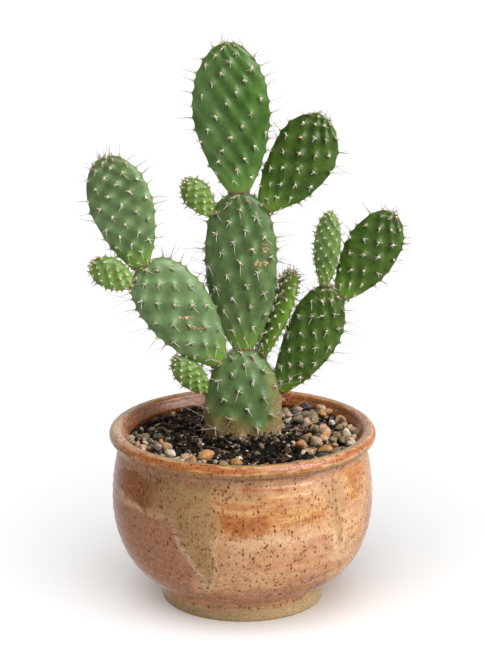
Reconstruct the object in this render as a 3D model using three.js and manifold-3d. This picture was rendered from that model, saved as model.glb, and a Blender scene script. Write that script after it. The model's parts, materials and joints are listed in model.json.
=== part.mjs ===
// A potted paddle cactus: a wheel-thrown stoneware bowl filled with dark mix and gravel, and a
// prickly pear of thirteen pads. Millimetres, +Z up; the origin is on the pot's axis, at its foot.

import * as THREE from 'three';
import { mergeVertices } from 'three/addons/utils/BufferGeometryUtils.js';
import Module from 'manifold-3d';

const wasm = await Module();
wasm.setup();

// ---- Driving dimensions -------------------------------------------------------------------

const GAP = 0.3; // clearance between pieces that touch
const WALL_GAP = 0.35; // the same between the soil and the faceted wall of the pot, each way
const SEAT_SWELL = 0.5; // how far a faceted pad is swollen to cut the seat of its neighbour
const HOLE_SWELL = 1.1; // the same for the planting hole in the soil
const SEED = 4;

const POT = {
  segments: 40,
  footRadius: 48.2,
  footTop: { radius: 50.4, height: 12.7 },
  footWidth: 9,
  recess: 4,
  drainRadius: 6,
  body: { centre: 42.7, reach: 35.7, height: 63.5, lower: 52, upper: 67.9 },
  neckHeight: 94,
  rim: { radius: 75.9, height: 103.1, roll: 4.1 },
  cavity: { centre: 30, reach: 42, height: 63.5, floor: 12, upper: 91.2, rings: [19, 32, 50, 68, 84, 96] },
};

const SOIL = { level: 97.4, mound: 5.5, moundRadius: 30, ripple: 0.7, rings: 6 };

// Gravel lies in two beds of stones on a layer of grit; single stones are half sunk in the soil.
const GRAVEL_BEDS = [
  { name: 'gravel_right', from: -52, to: 62, rows: [64, 56.5, 49], size: 7.4 },
  { name: 'gravel_left', from: 180, to: 256, rows: [64, 57], size: 6.8 },
];
const GRIT_TOP = 2.2; // height of the grit above the mean level of the soil
const BAND_MARGIN = 0.3; // how far the grit reaches past its rows, as a share of the stones' size
const SINGLE_STONES = { count: 16, inner: 24, outer: 64, smallest: 4.5, largest: 7.5, apart: 9 };
const STONE_RISE = 0.12; // how far a stone's centre is above what it lies in, as a share of its size
const PLANTED = { across: 29, deep: 19 }; // half sizes of the open soil around the base pad

// Every second areole carries one spine. stray is how far it turns from the skin's normal.
const SPINE = { radius: 0.3, shortest: 5.5, longest: 10, sunk: 1.4, aside: 0.9, stray: 1.1, clearance: 2.2 };

// Each pad is a stem segment. It grows from the edge of its parent at the share "at" of the
// parent's length, on its left (-1) or right (1) side. tilt leans it sideways, lean leans it
// back, turn turns its face about its own length, bow bends it out of its plane and sway within
// it. widest is where it is widest, taper shapes it below that place and crown above it.
const PADS = [
  { name: 'pad_base', foot: [0.4, 0, 66], tilt: 0, lean: 0, turn: 4, length: 89.4, width: 46.4,
    thickness: 25, widest: 0.57, taper: 2.6, crown: 2, bow: 0, sway: 0, rings: 9, cols: 12,
    slant: 0.25 },
  { name: 'pad_main', parent: 'pad_base', at: 1, side: -1, tilt: -1.3, lean: 1, turn: -6, length: 97,
    width: 42.4, thickness: 16, widest: 0.58, taper: 2.2, crown: 2.3, bow: 2, sway: 0, rings: 13,
    cols: 12, slant: 0.3 },
  { name: 'pad_top', parent: 'pad_main', at: 1, side: -1, tilt: -4.5, lean: -3, turn: -6, length: 90.8,
    width: 44.8, thickness: 12, widest: 0.56, taper: 1.8, crown: 2, bow: -3, sway: -1, rings: 14,
    cols: 14, slant: 0.35 },
  { name: 'pad_upper_right', parent: 'pad_main', at: 0.906, side: 1, tilt: 33.6, lean: 6, turn: -10,
    length: 65.5, width: 37.6, thickness: 11, widest: 0.62, taper: 1.8, crown: 2, bow: 2, sway: 2.4,
    rings: 12, cols: 12, slant: -0.4 },
  { name: 'bud_main', parent: 'pad_main', at: 0.87, side: -1, tilt: -37, lean: -8, turn: 10,
    length: 27.8, width: 16.6, thickness: 10, widest: 0.6, taper: 1.9, crown: 2, bow: 0, sway: 0,
    rings: 9, cols: 10, slant: 0.3 },
  { name: 'pad_left', parent: 'pad_base', at: 0.911, side: -1, tilt: -35.5, lean: -9, turn: 8,
    length: 79, width: 40, thickness: 14, widest: 0.59, taper: 1.8, crown: 2.3, bow: -2, sway: 0,
    rings: 12, cols: 12, slant: 0.3 },
  { name: 'pad_left_top', parent: 'pad_left', at: 0.9992, side: -1, tilt: -16.4, lean: 4, turn: -12,
    length: 70.5, width: 38.4, thickness: 11, widest: 0.6, taper: 1.8, crown: 2, bow: 3, sway: 0,
    rings: 13, cols: 12, slant: 0.3 },
  { name: 'bud_left', parent: 'pad_left', at: 0.935, side: -1, tilt: -60.7, lean: -8, turn: 6,
    length: 29, width: 18.4, thickness: 11, widest: 0.58, taper: 1.9, crown: 2, bow: 0, sway: 0,
    rings: 9, cols: 10, slant: 0.3 },
  { name: 'bud_base', parent: 'pad_base', at: 0.71, side: -1, tilt: -41.6, lean: -10, turn: 12,
    length: 31, width: 16.5, thickness: 10.5, widest: 0.58, taper: 1.9, crown: 2, bow: 0, sway: 0,
    rings: 9, cols: 10, slant: 0.3 },
  { name: 'pad_edge_on', parent: 'pad_base', at: 0.95, side: 1, tilt: 19.4, lean: 15, turn: -66,
    length: 55, width: 27, thickness: 10.5, widest: 0.6, taper: 1.8, crown: 2, bow: -2, sway: 0,
    rings: 11, cols: 10, slant: 0.3 },
  { name: 'pad_right', parent: 'pad_base', at: 0.71, side: 1, tilt: 26.5, lean: 2, turn: -9,
    length: 72.5, width: 32, thickness: 13, widest: 0.62, taper: 1.8, crown: 2, bow: 2, sway: 2.4,
    rings: 13, cols: 12, slant: -0.4 },
  { name: 'pad_right_narrow', parent: 'pad_right', at: 0.98, side: -1, tilt: 3.5, lean: -4, turn: -18,
    length: 46.8, width: 16, thickness: 11, widest: 0.58, taper: 1.9, crown: 2, bow: -1, sway: 0,
    rings: 11, cols: 10, slant: 0.3 },
  { name: 'pad_right_top', parent: 'pad_right', at: 0.964, side: 1, tilt: 31.6, lean: 5, turn: -8,
    length: 60.4, width: 31.4, thickness: 10.5, widest: 0.58, taper: 1.8, crown: 2, bow: 2, sway: 0.8,
    rings: 12, cols: 12, slant: -0.4 },
];

const NECK = 0.2; // width of the joint, as a share of the pad's width
const JOINT_DEPTH = 2; // how far a joint reaches below its parent's edge before it is cut to fit
const HOLLOW = 1.2; // depth of the hollows between the tubercles that carry the areoles
const FULL_RELIEF_WIDTH = 30; // narrower pads have shallower hollows and shorter spines

const MATERIALS = {
  glaze: new THREE.MeshStandardMaterial({ color: 0xc07a4e, roughness: 0.35, metalness: 0 }),
  soil: new THREE.MeshStandardMaterial({ color: 0x2a211c, roughness: 0.95, metalness: 0 }),
  gravel: new THREE.MeshStandardMaterial({ color: 0xa8886a, roughness: 0.85, metalness: 0 }),
  oldPad: new THREE.MeshStandardMaterial({ color: 0x5c7d5c, roughness: 0.55, metalness: 0 }),
  youngPad: new THREE.MeshStandardMaterial({ color: 0x4f8038, roughness: 0.5, metalness: 0 }),
};
const OLD_PADS = ['pad_base', 'pad_main', 'pad_left', 'pad_left_top', 'pad_right'];

// ---- Helpers ------------------------------------------------------------------------------

// A repeatable draw of numbers from 0 to 1.
function seededDraw(seed) {
  let state = seed >>> 0;
  return () => {
    state = (state + 0x6d2b79f5) >>> 0;
    let t = state;
    t = Math.imul(t ^ (t >>> 15), t | 1);
    t ^= t + Math.imul(t ^ (t >>> 7), t | 61);
    return ((t ^ (t >>> 14)) >>> 0) / 4294967296;
  };
}

function closedMesh(points, triangles) {
  const geometry = new THREE.BufferGeometry();
  geometry.setAttribute('position', new THREE.Float32BufferAttribute(points.flat(), 3));
  geometry.setIndex(triangles.flat());
  return geometry;
}

// A closed three.js geometry as a solid that can be joined and cut.
function toSolid(geometry) {
  const bare = geometry.clone();
  bare.deleteAttribute('normal');
  bare.deleteAttribute('uv');
  const merged = mergeVertices(bare, 1e-4);
  const index = merged.index.array;
  const kept = [];
  for (let t = 0; t < index.length; t += 3) {
    const [a, b, c] = [index[t], index[t + 1], index[t + 2]];
    if (a !== b && b !== c && c !== a) kept.push(a, b, c);
  }
  return new wasm.Manifold(new wasm.Mesh({
    numProp: 3,
    vertProperties: new Float32Array(merged.attributes.position.array),
    triVerts: new Uint32Array(kept),
  }));
}

function toGeometry(solid) {
  const mesh = solid.getMesh();
  const geometry = new THREE.BufferGeometry();
  geometry.setAttribute('position', new THREE.Float32BufferAttribute(mesh.vertProperties, 3));
  geometry.setIndex([...mesh.triVerts]);
  geometry.computeVertexNormals();
  return geometry;
}

// The largest of the bodies in a solid, without loose scraps.
function largestBody(solid) {
  return solid.decompose().reduce((best, body) => (body.volume() > best.volume() ? body : best));
}

function polar(radius, degrees) {
  const angle = THREE.MathUtils.degToRad(degrees);
  return [radius * Math.cos(angle), radius * Math.sin(angle)];
}

// A profile turned about +Z.
function turned(profile, segments) {
  const points = profile.map(([radius, height]) => new THREE.Vector2(radius, height));
  return new THREE.LatheGeometry(points, segments).rotateX(Math.PI / 2);
}

// ---- Pot ----------------------------------------------------------------------------------

function bodyRadius(height) {
  const { centre, reach, height: widest, lower, upper } = POT.body;
  const share = (height - widest) / (height < widest ? lower : upper);
  return centre + reach * Math.sqrt(1 - share * share);
}

function cavityRadius(height) {
  const { centre, reach, height: widest, floor, upper } = POT.cavity;
  const share = (height - widest) / (height < widest ? widest - floor : upper);
  return centre + reach * Math.sqrt(Math.max(0, 1 - share * share));
}

function steps(from, to, count) {
  return Array.from({ length: count + 1 }, (_, i) => from + ((to - from) * i) / count);
}

function potGeometry() {
  const { footRadius, footTop, footWidth, recess, drainRadius, neckHeight, rim, cavity } = POT;
  const profile = [
    [drainRadius, recess],
    [footRadius - footWidth - 1, recess],
    [footRadius - footWidth, 0],
    [footRadius - 0.8, 0],
    [footRadius, 0.8],
    [footTop.radius, footTop.height],
  ];
  for (const height of [15, 19, 25, 33, 43, 54, 66, 77, 87]) profile.push([bodyRadius(height), height]);
  profile.push([bodyRadius(neckHeight), neckHeight]);
  for (const degrees of [-110, -70, -30, 10, 50, 90, 130, 170]) {
    const [out, up] = polar(rim.roll, degrees);
    profile.push([rim.radius + out, rim.height + up]);
  }
  for (const height of cavity.rings.toReversed()) profile.push([cavityRadius(height), height]);
  profile.push([cavity.centre, cavity.floor], [drainRadius, cavity.floor], [drainRadius, recess]);
  return turned(profile, POT.segments);
}

// ---- Soil and gravel ----------------------------------------------------------------------

function soilHeight(x, y) {
  const mound = SOIL.mound * Math.exp(-(x * x + y * y) / SOIL.moundRadius ** 2);
  const waves = Math.sin(0.23 * x + 1.3) * Math.sin(0.19 * y + 0.4) + 0.6 * Math.sin(0.47 * x - 0.33 * y);
  return SOIL.level + mound + SOIL.ripple * waves;
}

function soilGeometry() {
  const { centre, floor, rings } = POT.cavity;
  const profile = [[0, floor + WALL_GAP], [centre - WALL_GAP, floor + WALL_GAP]];
  for (const height of rings) profile.push([cavityRadius(height) - WALL_GAP, height + WALL_GAP]);
  const edge = profile.at(-1)[0];
  for (const share of steps(1, 0, SOIL.rings)) profile.push([edge * share, SOIL.level]);
  const geometry = turned(profile, POT.segments);
  const position = geometry.attributes.position;
  for (let i = 0; i < position.count; i++) {
    if (position.getZ(i) > SOIL.level - 0.01) {
      position.setZ(i, soilHeight(position.getX(i), position.getY(i)));
    }
  }
  return geometry;
}

// A rounded stone with few faces, wider than it is high.
function stone(size, x, y, z, draw) {
  const geometry = new THREE.IcosahedronGeometry(size / 2, 0);
  geometry.scale(0.9 + 0.3 * draw(), 0.85 + 0.25 * draw(), 0.65 + 0.2 * draw());
  geometry.rotateX(0.5 * (draw() - 0.5));
  geometry.rotateZ(2 * Math.PI * draw());
  geometry.translate(x, y, z);
  return toSolid(geometry);
}

// Whether a place on the soil is taken by a bed of gravel or by the plant.
function isTaken(radius, degrees) {
  const [x, y] = polar(radius, degrees);
  const onBed = GRAVEL_BEDS.some(({ from, to, rows, size }) => {
    const past = (((degrees - from) % 360) + 360) % 360;
    const aside = THREE.MathUtils.radToDeg((2 * size) / radius);
    const along = past < to - from + aside || past > 360 - aside;
    return along && radius > Math.min(...rows) - 1.7 * size;
  });
  return onBed || (Math.abs(x) < PLANTED.across && Math.abs(y) < PLANTED.deep);
}

// Single stones keep to the open soil and apart from each other.
function singleStones(draw) {
  const { count, inner, outer, smallest, largest, apart } = SINGLE_STONES;
  const places = [];
  while (places.length < count) {
    const [radius, degrees] = [THREE.MathUtils.lerp(inner, outer, draw()), 360 * draw()];
    const [x, y] = polar(radius, degrees);
    const isApart = places.every((other) => Math.hypot(other.x - x, other.y - y) > apart);
    if (isApart && !isTaken(radius, degrees)) {
      places.push({ x, y, size: THREE.MathUtils.lerp(smallest, largest, draw()) });
    }
  }
  return places.map(({ x, y, size }) => stone(size, x, y, soilHeight(x, y) + STONE_RISE * size, draw));
}

// The grit of a bed: a flat band along the pot's wall, as wide as the rows of stones.
function gritBand({ from, to, rows, size }) {
  const [start, end] = [from, to].map((degrees) => THREE.MathUtils.degToRad(degrees));
  const band = new THREE.Shape();
  band.absarc(0, 0, Math.max(...rows) + BAND_MARGIN * size, start, end, false);
  band.absarc(0, 0, Math.min(...rows) - BAND_MARGIN * size, end, start, true);
  const options = { depth: 2 * GRIT_TOP, bevelEnabled: false, curveSegments: 9 };
  const geometry = new THREE.ExtrudeGeometry(band, options);
  return geometry.translate(0, 0, SOIL.level - GRIT_TOP);
}

function gravelBed(bed, soil, draw) {
  let heap = toSolid(gritBand(bed));
  bed.rows.forEach((radius, row) => {
    const step = THREE.MathUtils.radToDeg((1.02 * bed.size) / radius);
    for (let degrees = bed.from + (row % 2) * step * 0.5; degrees < bed.to; degrees += step) {
      const [x, y] = polar(radius + 1.2 * (draw() - 0.5), degrees);
      const size = bed.size * (0.85 + 0.25 * draw());
      heap = heap.add(stone(size, x, y, SOIL.level + GRIT_TOP + STONE_RISE * size, draw));
    }
  });
  return largestBody(heap.subtract(soil.translate([0, 0, GAP])));
}

// ---- Pads ---------------------------------------------------------------------------------

// Half width at the share s of the length, as a share of the greatest half width.
function outline(pad, s) {
  if (s >= pad.widest) {
    const over = (s - pad.widest) / (1 - pad.widest);
    return Math.max(0, 1 - over ** pad.crown) ** (1 / pad.crown);
  }
  const under = (pad.widest - s) / pad.widest;
  return NECK + (1 - NECK) * Math.max(0, 1 - under ** pad.taper) ** 0.9;
}

// Length shares of the rings, evenly spaced along the pad's edge and closer towards its tip.
function ringShares(pad) {
  const fine = steps(0, 1, 200);
  const walked = [0];
  for (let i = 1; i < fine.length; i++) {
    const rise = (fine[i] - fine[i - 1]) * pad.length;
    const widening = ((outline(pad, fine[i]) - outline(pad, fine[i - 1])) * pad.width) / 2;
    walked.push(walked[i - 1] + Math.hypot(rise, widening));
  }
  return steps(0, 1, pad.rings).slice(0, -1).map((share) => {
    const wanted = (1 - (1 - share) ** 1.12) * walked.at(-1);
    return fine[walked.findIndex((length) => length >= wanted)];
  });
}

// A point of the pad's skin: u runs along the pad, v across it and w out of its face.
function skinPoint(pad, s, angle) {
  const share = outline(pad, s);
  const flatness = pad.thickness / pad.width;
  const evened = angle + ((0.4 * (1 - flatness)) / (1 + flatness)) * Math.sin(2 * angle);
  const v = (pad.width / 2) * share * Math.cos(evened) + pad.sway * Math.sin(Math.PI * s);
  const w = (pad.thickness / 2) * share ** 0.6 * Math.sin(evened) + pad.bow * s * s;
  return new THREE.Vector3(v, -w, s * pad.length);
}

function skinNormal(pad, s, angle) {
  const here = skinPoint(pad, s, angle);
  const around = skinPoint(pad, s, angle + 0.01).sub(here);
  const below = skinPoint(pad, s - 0.004, angle).sub(here);
  return around.cross(below).normalize();
}

function areoleAngle(pad, ring, column) {
  return (2 * Math.PI * (column + pad.slant * ring)) / pad.cols;
}

// Every second corner of the net is an areole on its tubercle; those between lie in a hollow.
function isAreole(ring, column) {
  return (ring + column) % 2 === 0;
}

function relief(pad, ring, column) {
  const growth = Math.min(1, ring / 3) * Math.min(1, pad.width / FULL_RELIEF_WIDTH);
  return isAreole(ring, column) ? 0 : -HOLLOW * growth;
}

function padSkin(pad, swell = 0) {
  const points = [[0, 0, -swell]];
  const triangles = [];
  const shares = ringShares(pad);
  shares.forEach((s, ring) => {
    for (let column = 0; column < pad.cols; column++) {
      const angle = areoleAngle(pad, ring, column);
      const out = relief(pad, ring, column) + swell;
      points.push(skinPoint(pad, s, angle).addScaledVector(skinNormal(pad, s, angle), out).toArray());
    }
  });
  const tip = points.push([0, -pad.bow, pad.length + swell]) - 1;
  const corner = (ring, column) => 1 + ring * pad.cols + (column % pad.cols);
  for (let column = 0; column < pad.cols; column++) {
    triangles.push([0, corner(0, column), corner(0, column + 1)]);
    for (let ring = 0; ring < shares.length - 1; ring++) {
      const [a, b] = [corner(ring, column), corner(ring, column + 1)];
      const [c, d] = [corner(ring + 1, column + 1), corner(ring + 1, column)];
      triangles.push([a, c, b], [a, d, c]);
    }
    triangles.push([tip, corner(shares.length - 1, column + 1), corner(shares.length - 1, column)]);
  }
  return closedMesh(points, triangles);
}

// Where a pad stands: its matrix takes (v, -w, u) to the row's frame.
function padMatrix(pad, matrices) {
  const turn = new THREE.Euler(
    THREE.MathUtils.degToRad(-pad.lean),
    THREE.MathUtils.degToRad(pad.tilt),
    THREE.MathUtils.degToRad(pad.turn),
    'YXZ',
  );
  const rotation = new THREE.Quaternion().setFromEuler(turn);
  const seat = new THREE.Vector3();
  if (pad.parent) {
    const parent = PADS.find((other) => other.name === pad.parent);
    seat.copy(skinPoint(parent, pad.at, pad.side > 0 ? 0 : Math.PI));
    seat.applyMatrix4(matrices[pad.parent]);
    seat.addScaledVector(new THREE.Vector3(0, 0, 1).applyQuaternion(rotation), -JOINT_DEPTH);
  } else {
    seat.fromArray(pad.foot);
  }
  return new THREE.Matrix4().compose(seat, rotation, new THREE.Vector3(1, 1, 1));
}

// Whether a point of the row's frame is in a pad or within the clearance of it.
function inPad(pad, toPad, point, clearance) {
  const local = point.clone().applyMatrix4(toPad);
  const s = local.z / pad.length;
  if (local.z < -clearance || local.z > pad.length + clearance) return false;
  const share = outline(pad, THREE.MathUtils.clamp(s, 0, 0.999));
  const across = (local.x - pad.sway * Math.sin(Math.PI * s)) / ((pad.width / 2) * share + clearance);
  const out = (local.y + pad.bow * s * s) / ((pad.thickness / 2) * share ** 0.6 + clearance);
  return across * across + out * out < 1;
}

function inPot(point) {
  const radius = Math.hypot(point.x, point.y);
  return point.z < POT.rim.height + 8 && (radius > 66 || point.z < soilHeight(point.x, point.y) + 9);
}

// A spine is a three-sided needle rooted beside its areole's centre.
function spine(root, direction, length) {
  const geometry = new THREE.ConeGeometry(SPINE.radius, length + SPINE.sunk, 3);
  geometry.translate(0, (length + SPINE.sunk) / 2 - SPINE.sunk, 0);
  const upright = new THREE.Vector3(0, 1, 0);
  geometry.applyQuaternion(new THREE.Quaternion().setFromUnitVectors(upright, direction));
  geometry.translate(root.x, root.y, root.z);
  return geometry;
}

function padSpines(pad, matrices, draw) {
  const needles = [];
  ringShares(pad).forEach((s, ring) => {
    for (let column = 0; column < pad.cols; column++) {
      const carries = isAreole(ring, column) && (ring >> 1) % 2 === (column >> 1) % 2;
      if (!carries || ring < 2) continue;
      const angle = areoleAngle(pad, ring, column);
      const normal = skinNormal(pad, s, angle);
      const stray = new THREE.Vector3(draw() - 0.5, draw() - 0.5, draw() - 0.6);
      const direction = normal.clone().addScaledVector(stray, SPINE.stray).normalize();
      const growth = Math.min(1, pad.width / FULL_RELIEF_WIDTH);
      const length = growth * THREE.MathUtils.lerp(SPINE.shortest, SPINE.longest, draw());
      const aside = new THREE.Vector3(0.35, 0.35, 1).cross(normal).normalize();
      const root = skinPoint(pad, s, angle).addScaledVector(aside, SPINE.aside);
      const clear = steps(0.1, 1, 4).every((share) => {
        const point = root.clone().addScaledVector(direction, length * share);
        point.applyMatrix4(matrices[pad.name]);
        const hits = PADS.some((other) => {
          const toPad = matrices[other.name].clone().invert();
          return other !== pad && inPad(other, toPad, point, SPINE.clearance);
        });
        return !hits && !inPot(point);
      });
      if (clear) needles.push(spine(root, direction, length));
    }
  });
  return needles;
}

// A pad with its spines, cut to fit the edge of the pad that it grows from.
function padSolid(pad, matrices, draw) {
  let solid = toSolid(padSkin(pad));
  for (const needle of padSpines(pad, matrices, draw)) solid = solid.add(toSolid(needle));
  if (pad.parent) {
    const parent = PADS.find((other) => other.name === pad.parent);
    const toChild = matrices[pad.name].clone().invert().multiply(matrices[pad.parent]);
    solid = solid.subtract(toSolid(padSkin(parent, SEAT_SWELL).applyMatrix4(toChild)));
  }
  return largestBody(solid);
}

// ---- The potted plant ---------------------------------------------------------------------

const group = new THREE.Group();
group.name = 'potted_paddle_cactus';

function addPiece(name, geometry, material, matrix) {
  const mesh = new THREE.Mesh(geometry, material);
  mesh.name = name;
  if (matrix) matrix.decompose(mesh.position, mesh.quaternion, mesh.scale);
  group.add(mesh);
}

const matrices = {};
for (const pad of PADS) matrices[pad.name] = padMatrix(pad, matrices);

addPiece('pot', potGeometry(), MATERIALS.glaze);

const draw = seededDraw(SEED);
const basePad = PADS[0];
const stemHole = toSolid(padSkin(basePad, HOLE_SWELL).applyMatrix4(matrices[basePad.name]));
let soil = toSolid(soilGeometry());
for (const bed of GRAVEL_BEDS) addPiece(bed.name, toGeometry(gravelBed(bed, soil, draw)), MATERIALS.gravel);
for (const one of singleStones(draw)) soil = soil.add(one);
addPiece('soil', toGeometry(largestBody(soil.subtract(stemHole))), MATERIALS.soil);

for (const pad of PADS) {
  const material = OLD_PADS.includes(pad.name) ? MATERIALS.oldPad : MATERIALS.youngPad;
  addPiece(pad.name, toGeometry(padSolid(pad, matrices, draw)), material, matrices[pad.name]);
}

export default group;
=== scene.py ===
"""A potted prickly pear: the looks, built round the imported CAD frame.

The named values are in millimetres and degrees, and make_piece() turns them into the frame's
metres. +Z is up, the front is at -Y and the right at +X.
"""

import json
import math
from dataclasses import dataclass

import bmesh
import bpy
import numpy as np
from mathutils import Matrix, Vector, noise

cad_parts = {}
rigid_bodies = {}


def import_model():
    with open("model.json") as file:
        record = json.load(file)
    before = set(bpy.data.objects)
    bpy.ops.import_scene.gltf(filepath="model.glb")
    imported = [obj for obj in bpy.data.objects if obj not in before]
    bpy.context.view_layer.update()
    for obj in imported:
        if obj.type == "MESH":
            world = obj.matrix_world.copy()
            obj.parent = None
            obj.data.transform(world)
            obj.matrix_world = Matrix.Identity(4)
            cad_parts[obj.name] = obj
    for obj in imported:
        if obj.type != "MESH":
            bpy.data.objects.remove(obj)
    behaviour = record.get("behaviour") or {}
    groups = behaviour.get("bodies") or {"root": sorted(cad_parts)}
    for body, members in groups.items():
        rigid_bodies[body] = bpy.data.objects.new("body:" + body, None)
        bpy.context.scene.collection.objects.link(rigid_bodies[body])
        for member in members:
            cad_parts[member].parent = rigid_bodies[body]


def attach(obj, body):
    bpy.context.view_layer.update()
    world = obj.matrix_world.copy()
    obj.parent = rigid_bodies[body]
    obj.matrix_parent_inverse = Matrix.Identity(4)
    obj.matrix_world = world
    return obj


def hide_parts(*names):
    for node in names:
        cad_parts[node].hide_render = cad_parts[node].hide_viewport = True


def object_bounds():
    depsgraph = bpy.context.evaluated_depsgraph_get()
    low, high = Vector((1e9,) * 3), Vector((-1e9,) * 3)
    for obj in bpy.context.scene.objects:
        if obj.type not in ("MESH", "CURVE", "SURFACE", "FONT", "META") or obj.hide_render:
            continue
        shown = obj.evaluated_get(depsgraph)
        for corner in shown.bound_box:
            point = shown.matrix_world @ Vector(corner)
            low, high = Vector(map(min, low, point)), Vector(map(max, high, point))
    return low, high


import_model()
cad_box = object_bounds()

MM = 0.001
BODY = "root"


def placed(name, data):
    """A new object in the scene."""
    made = bpy.data.objects.new(name, data)
    bpy.context.scene.collection.objects.link(made)
    return made


# ---- The camera and the light ----

CAMERA = {"distance": 1500.0, "elevation": 15.48, "target": 169.6, "lens": 139.9, "sensor": 36.0}
VIEW_DISTANCE = 100.0  # metres
WORLD_STRENGTH = {"room": 0.1, "behind": 0.8, "right": 0.4}
GLOW = (0.5, 0.92)  # where the brighter sides of the world begin and are full, 1 being their middle
LIGHTS = (
    # name, azimuth from the front and to the right, elevation, strength, softness in degrees
    ("key", 55, 40, 4.2, 48),
    ("fill", -72, 20, 0.5, 60),
    ("top", 180, 75, 0.8, 60),
    ("paper", 0, 52, 3.9, 90),
)
FLOOR_RADIUS = 9000.0
FLOOR_SIDES = 64


def add_camera():
    data = bpy.data.cameras.new("camera")
    data.lens = CAMERA["lens"]
    data.sensor_width = CAMERA["sensor"]
    data.clip_end = VIEW_DISTANCE
    camera = placed("camera", data)
    elevation = math.radians(CAMERA["elevation"])
    back = CAMERA["distance"] * math.cos(elevation)
    height = CAMERA["target"] + CAMERA["distance"] * math.sin(elevation)
    camera.location = (0, -back * MM, height * MM)
    camera.rotation_euler = (math.pi / 2 - elevation, 0, 0)
    bpy.context.scene.camera = camera


def add_lights(floor):
    """Broad, even lights from far away. The floor has a light of its own, so that it is as
    bright everywhere and the plant throws only a soft shadow on it."""
    paper = bpy.data.collections.new("paper")
    paper.objects.link(floor)
    other = bpy.data.collections.new("other")
    other.objects.link(floor)
    other.collection_objects[0].light_linking.link_state = "EXCLUDE"
    for name, azimuth, elevation, strength, softness in LIGHTS:
        data = bpy.data.lights.new(name, "SUN")
        data.energy = strength
        data.angle = math.radians(softness)
        light = placed(name, data)
        turn, rise = math.radians(azimuth), math.radians(elevation)
        across = math.cos(rise)
        towards = Vector((math.sin(turn) * across, -math.cos(turn) * across, math.sin(rise)))
        light.visible_glossy = name == "key"
        light.light_linking.receiver_collection = paper if name == "paper" else other
        light.location = 2 * towards
        light.rotation_euler = towards.to_track_quat("Z", "Y").to_euler()


# ---- Shader nodes ----


class Value:
    """What a shader node gives. Where it is a number, plain sums make further nodes from it."""

    def __init__(self, nodes, socket):
        self.nodes = nodes
        self.socket = socket

    def __add__(self, other):
        return self.nodes.math("ADD", self, other)

    def __sub__(self, other):
        return self.nodes.math("SUBTRACT", self, other)

    def __rsub__(self, other):
        return self.nodes.math("SUBTRACT", other, self)

    def __mul__(self, other):
        return self.nodes.math("MULTIPLY", self, other)

    __radd__ = __add__
    __rmul__ = __mul__


class Nodes:
    """The nodes of a material or a world, with short calls for making them."""

    def __init__(self, owner):
        owner.use_nodes = True
        self.nodes, self.links = owner.node_tree.nodes, owner.node_tree.links

    def fill(self, socket, value):
        if isinstance(value, Value):
            self.links.new(value.socket, socket)
        else:
            socket.default_value = (*value, 1.0) if socket.type == "RGBA" else value

    def node(self, kind, inputs, output=0, **settings):
        made = self.nodes.new("ShaderNode" + kind)
        for key, value in settings.items():
            setattr(made, key, value)
        for key, value in inputs.items():
            self.fill(made.inputs[key], value)
        return Value(self, made.outputs[output])

    def math(self, operation, a, b):
        return self.node("Math", {0: a, 1: b}, operation=operation)

    def step(self, value, low, high, start=0.0, end=1.0):
        """start below low and end above high, or the other way round where low is the greater."""
        inputs = {0: value, 1: low, 2: high, 3: start, 4: end}
        return self.node("MapRange", inputs, interpolation_type="SMOOTHSTEP")


def add_world():
    """A dim white room that is brighter behind the plant and to its right."""
    world = bpy.data.worlds.new("studio")
    m = Nodes(world)
    away = m.node("TexCoord", {}, output="Generated")
    sides = []
    for axis, side in (("Y", "behind"), ("X", "right")):
        facing = m.node("SeparateXYZ", {0: away}, output=axis)
        sides.append(m.step(facing, *GLOW, WORLD_STRENGTH["room"], WORLD_STRENGTH[side]))
    background = m.nodes["Background"].inputs
    m.fill(background["Strength"], m.math("MAXIMUM", *sides))
    m.fill(background["Color"], (1.0, 1.0, 1.0))
    bpy.context.scene.world = world
    bpy.context.scene.view_settings.view_transform = "Standard"


# ---- Materials ----


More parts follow.
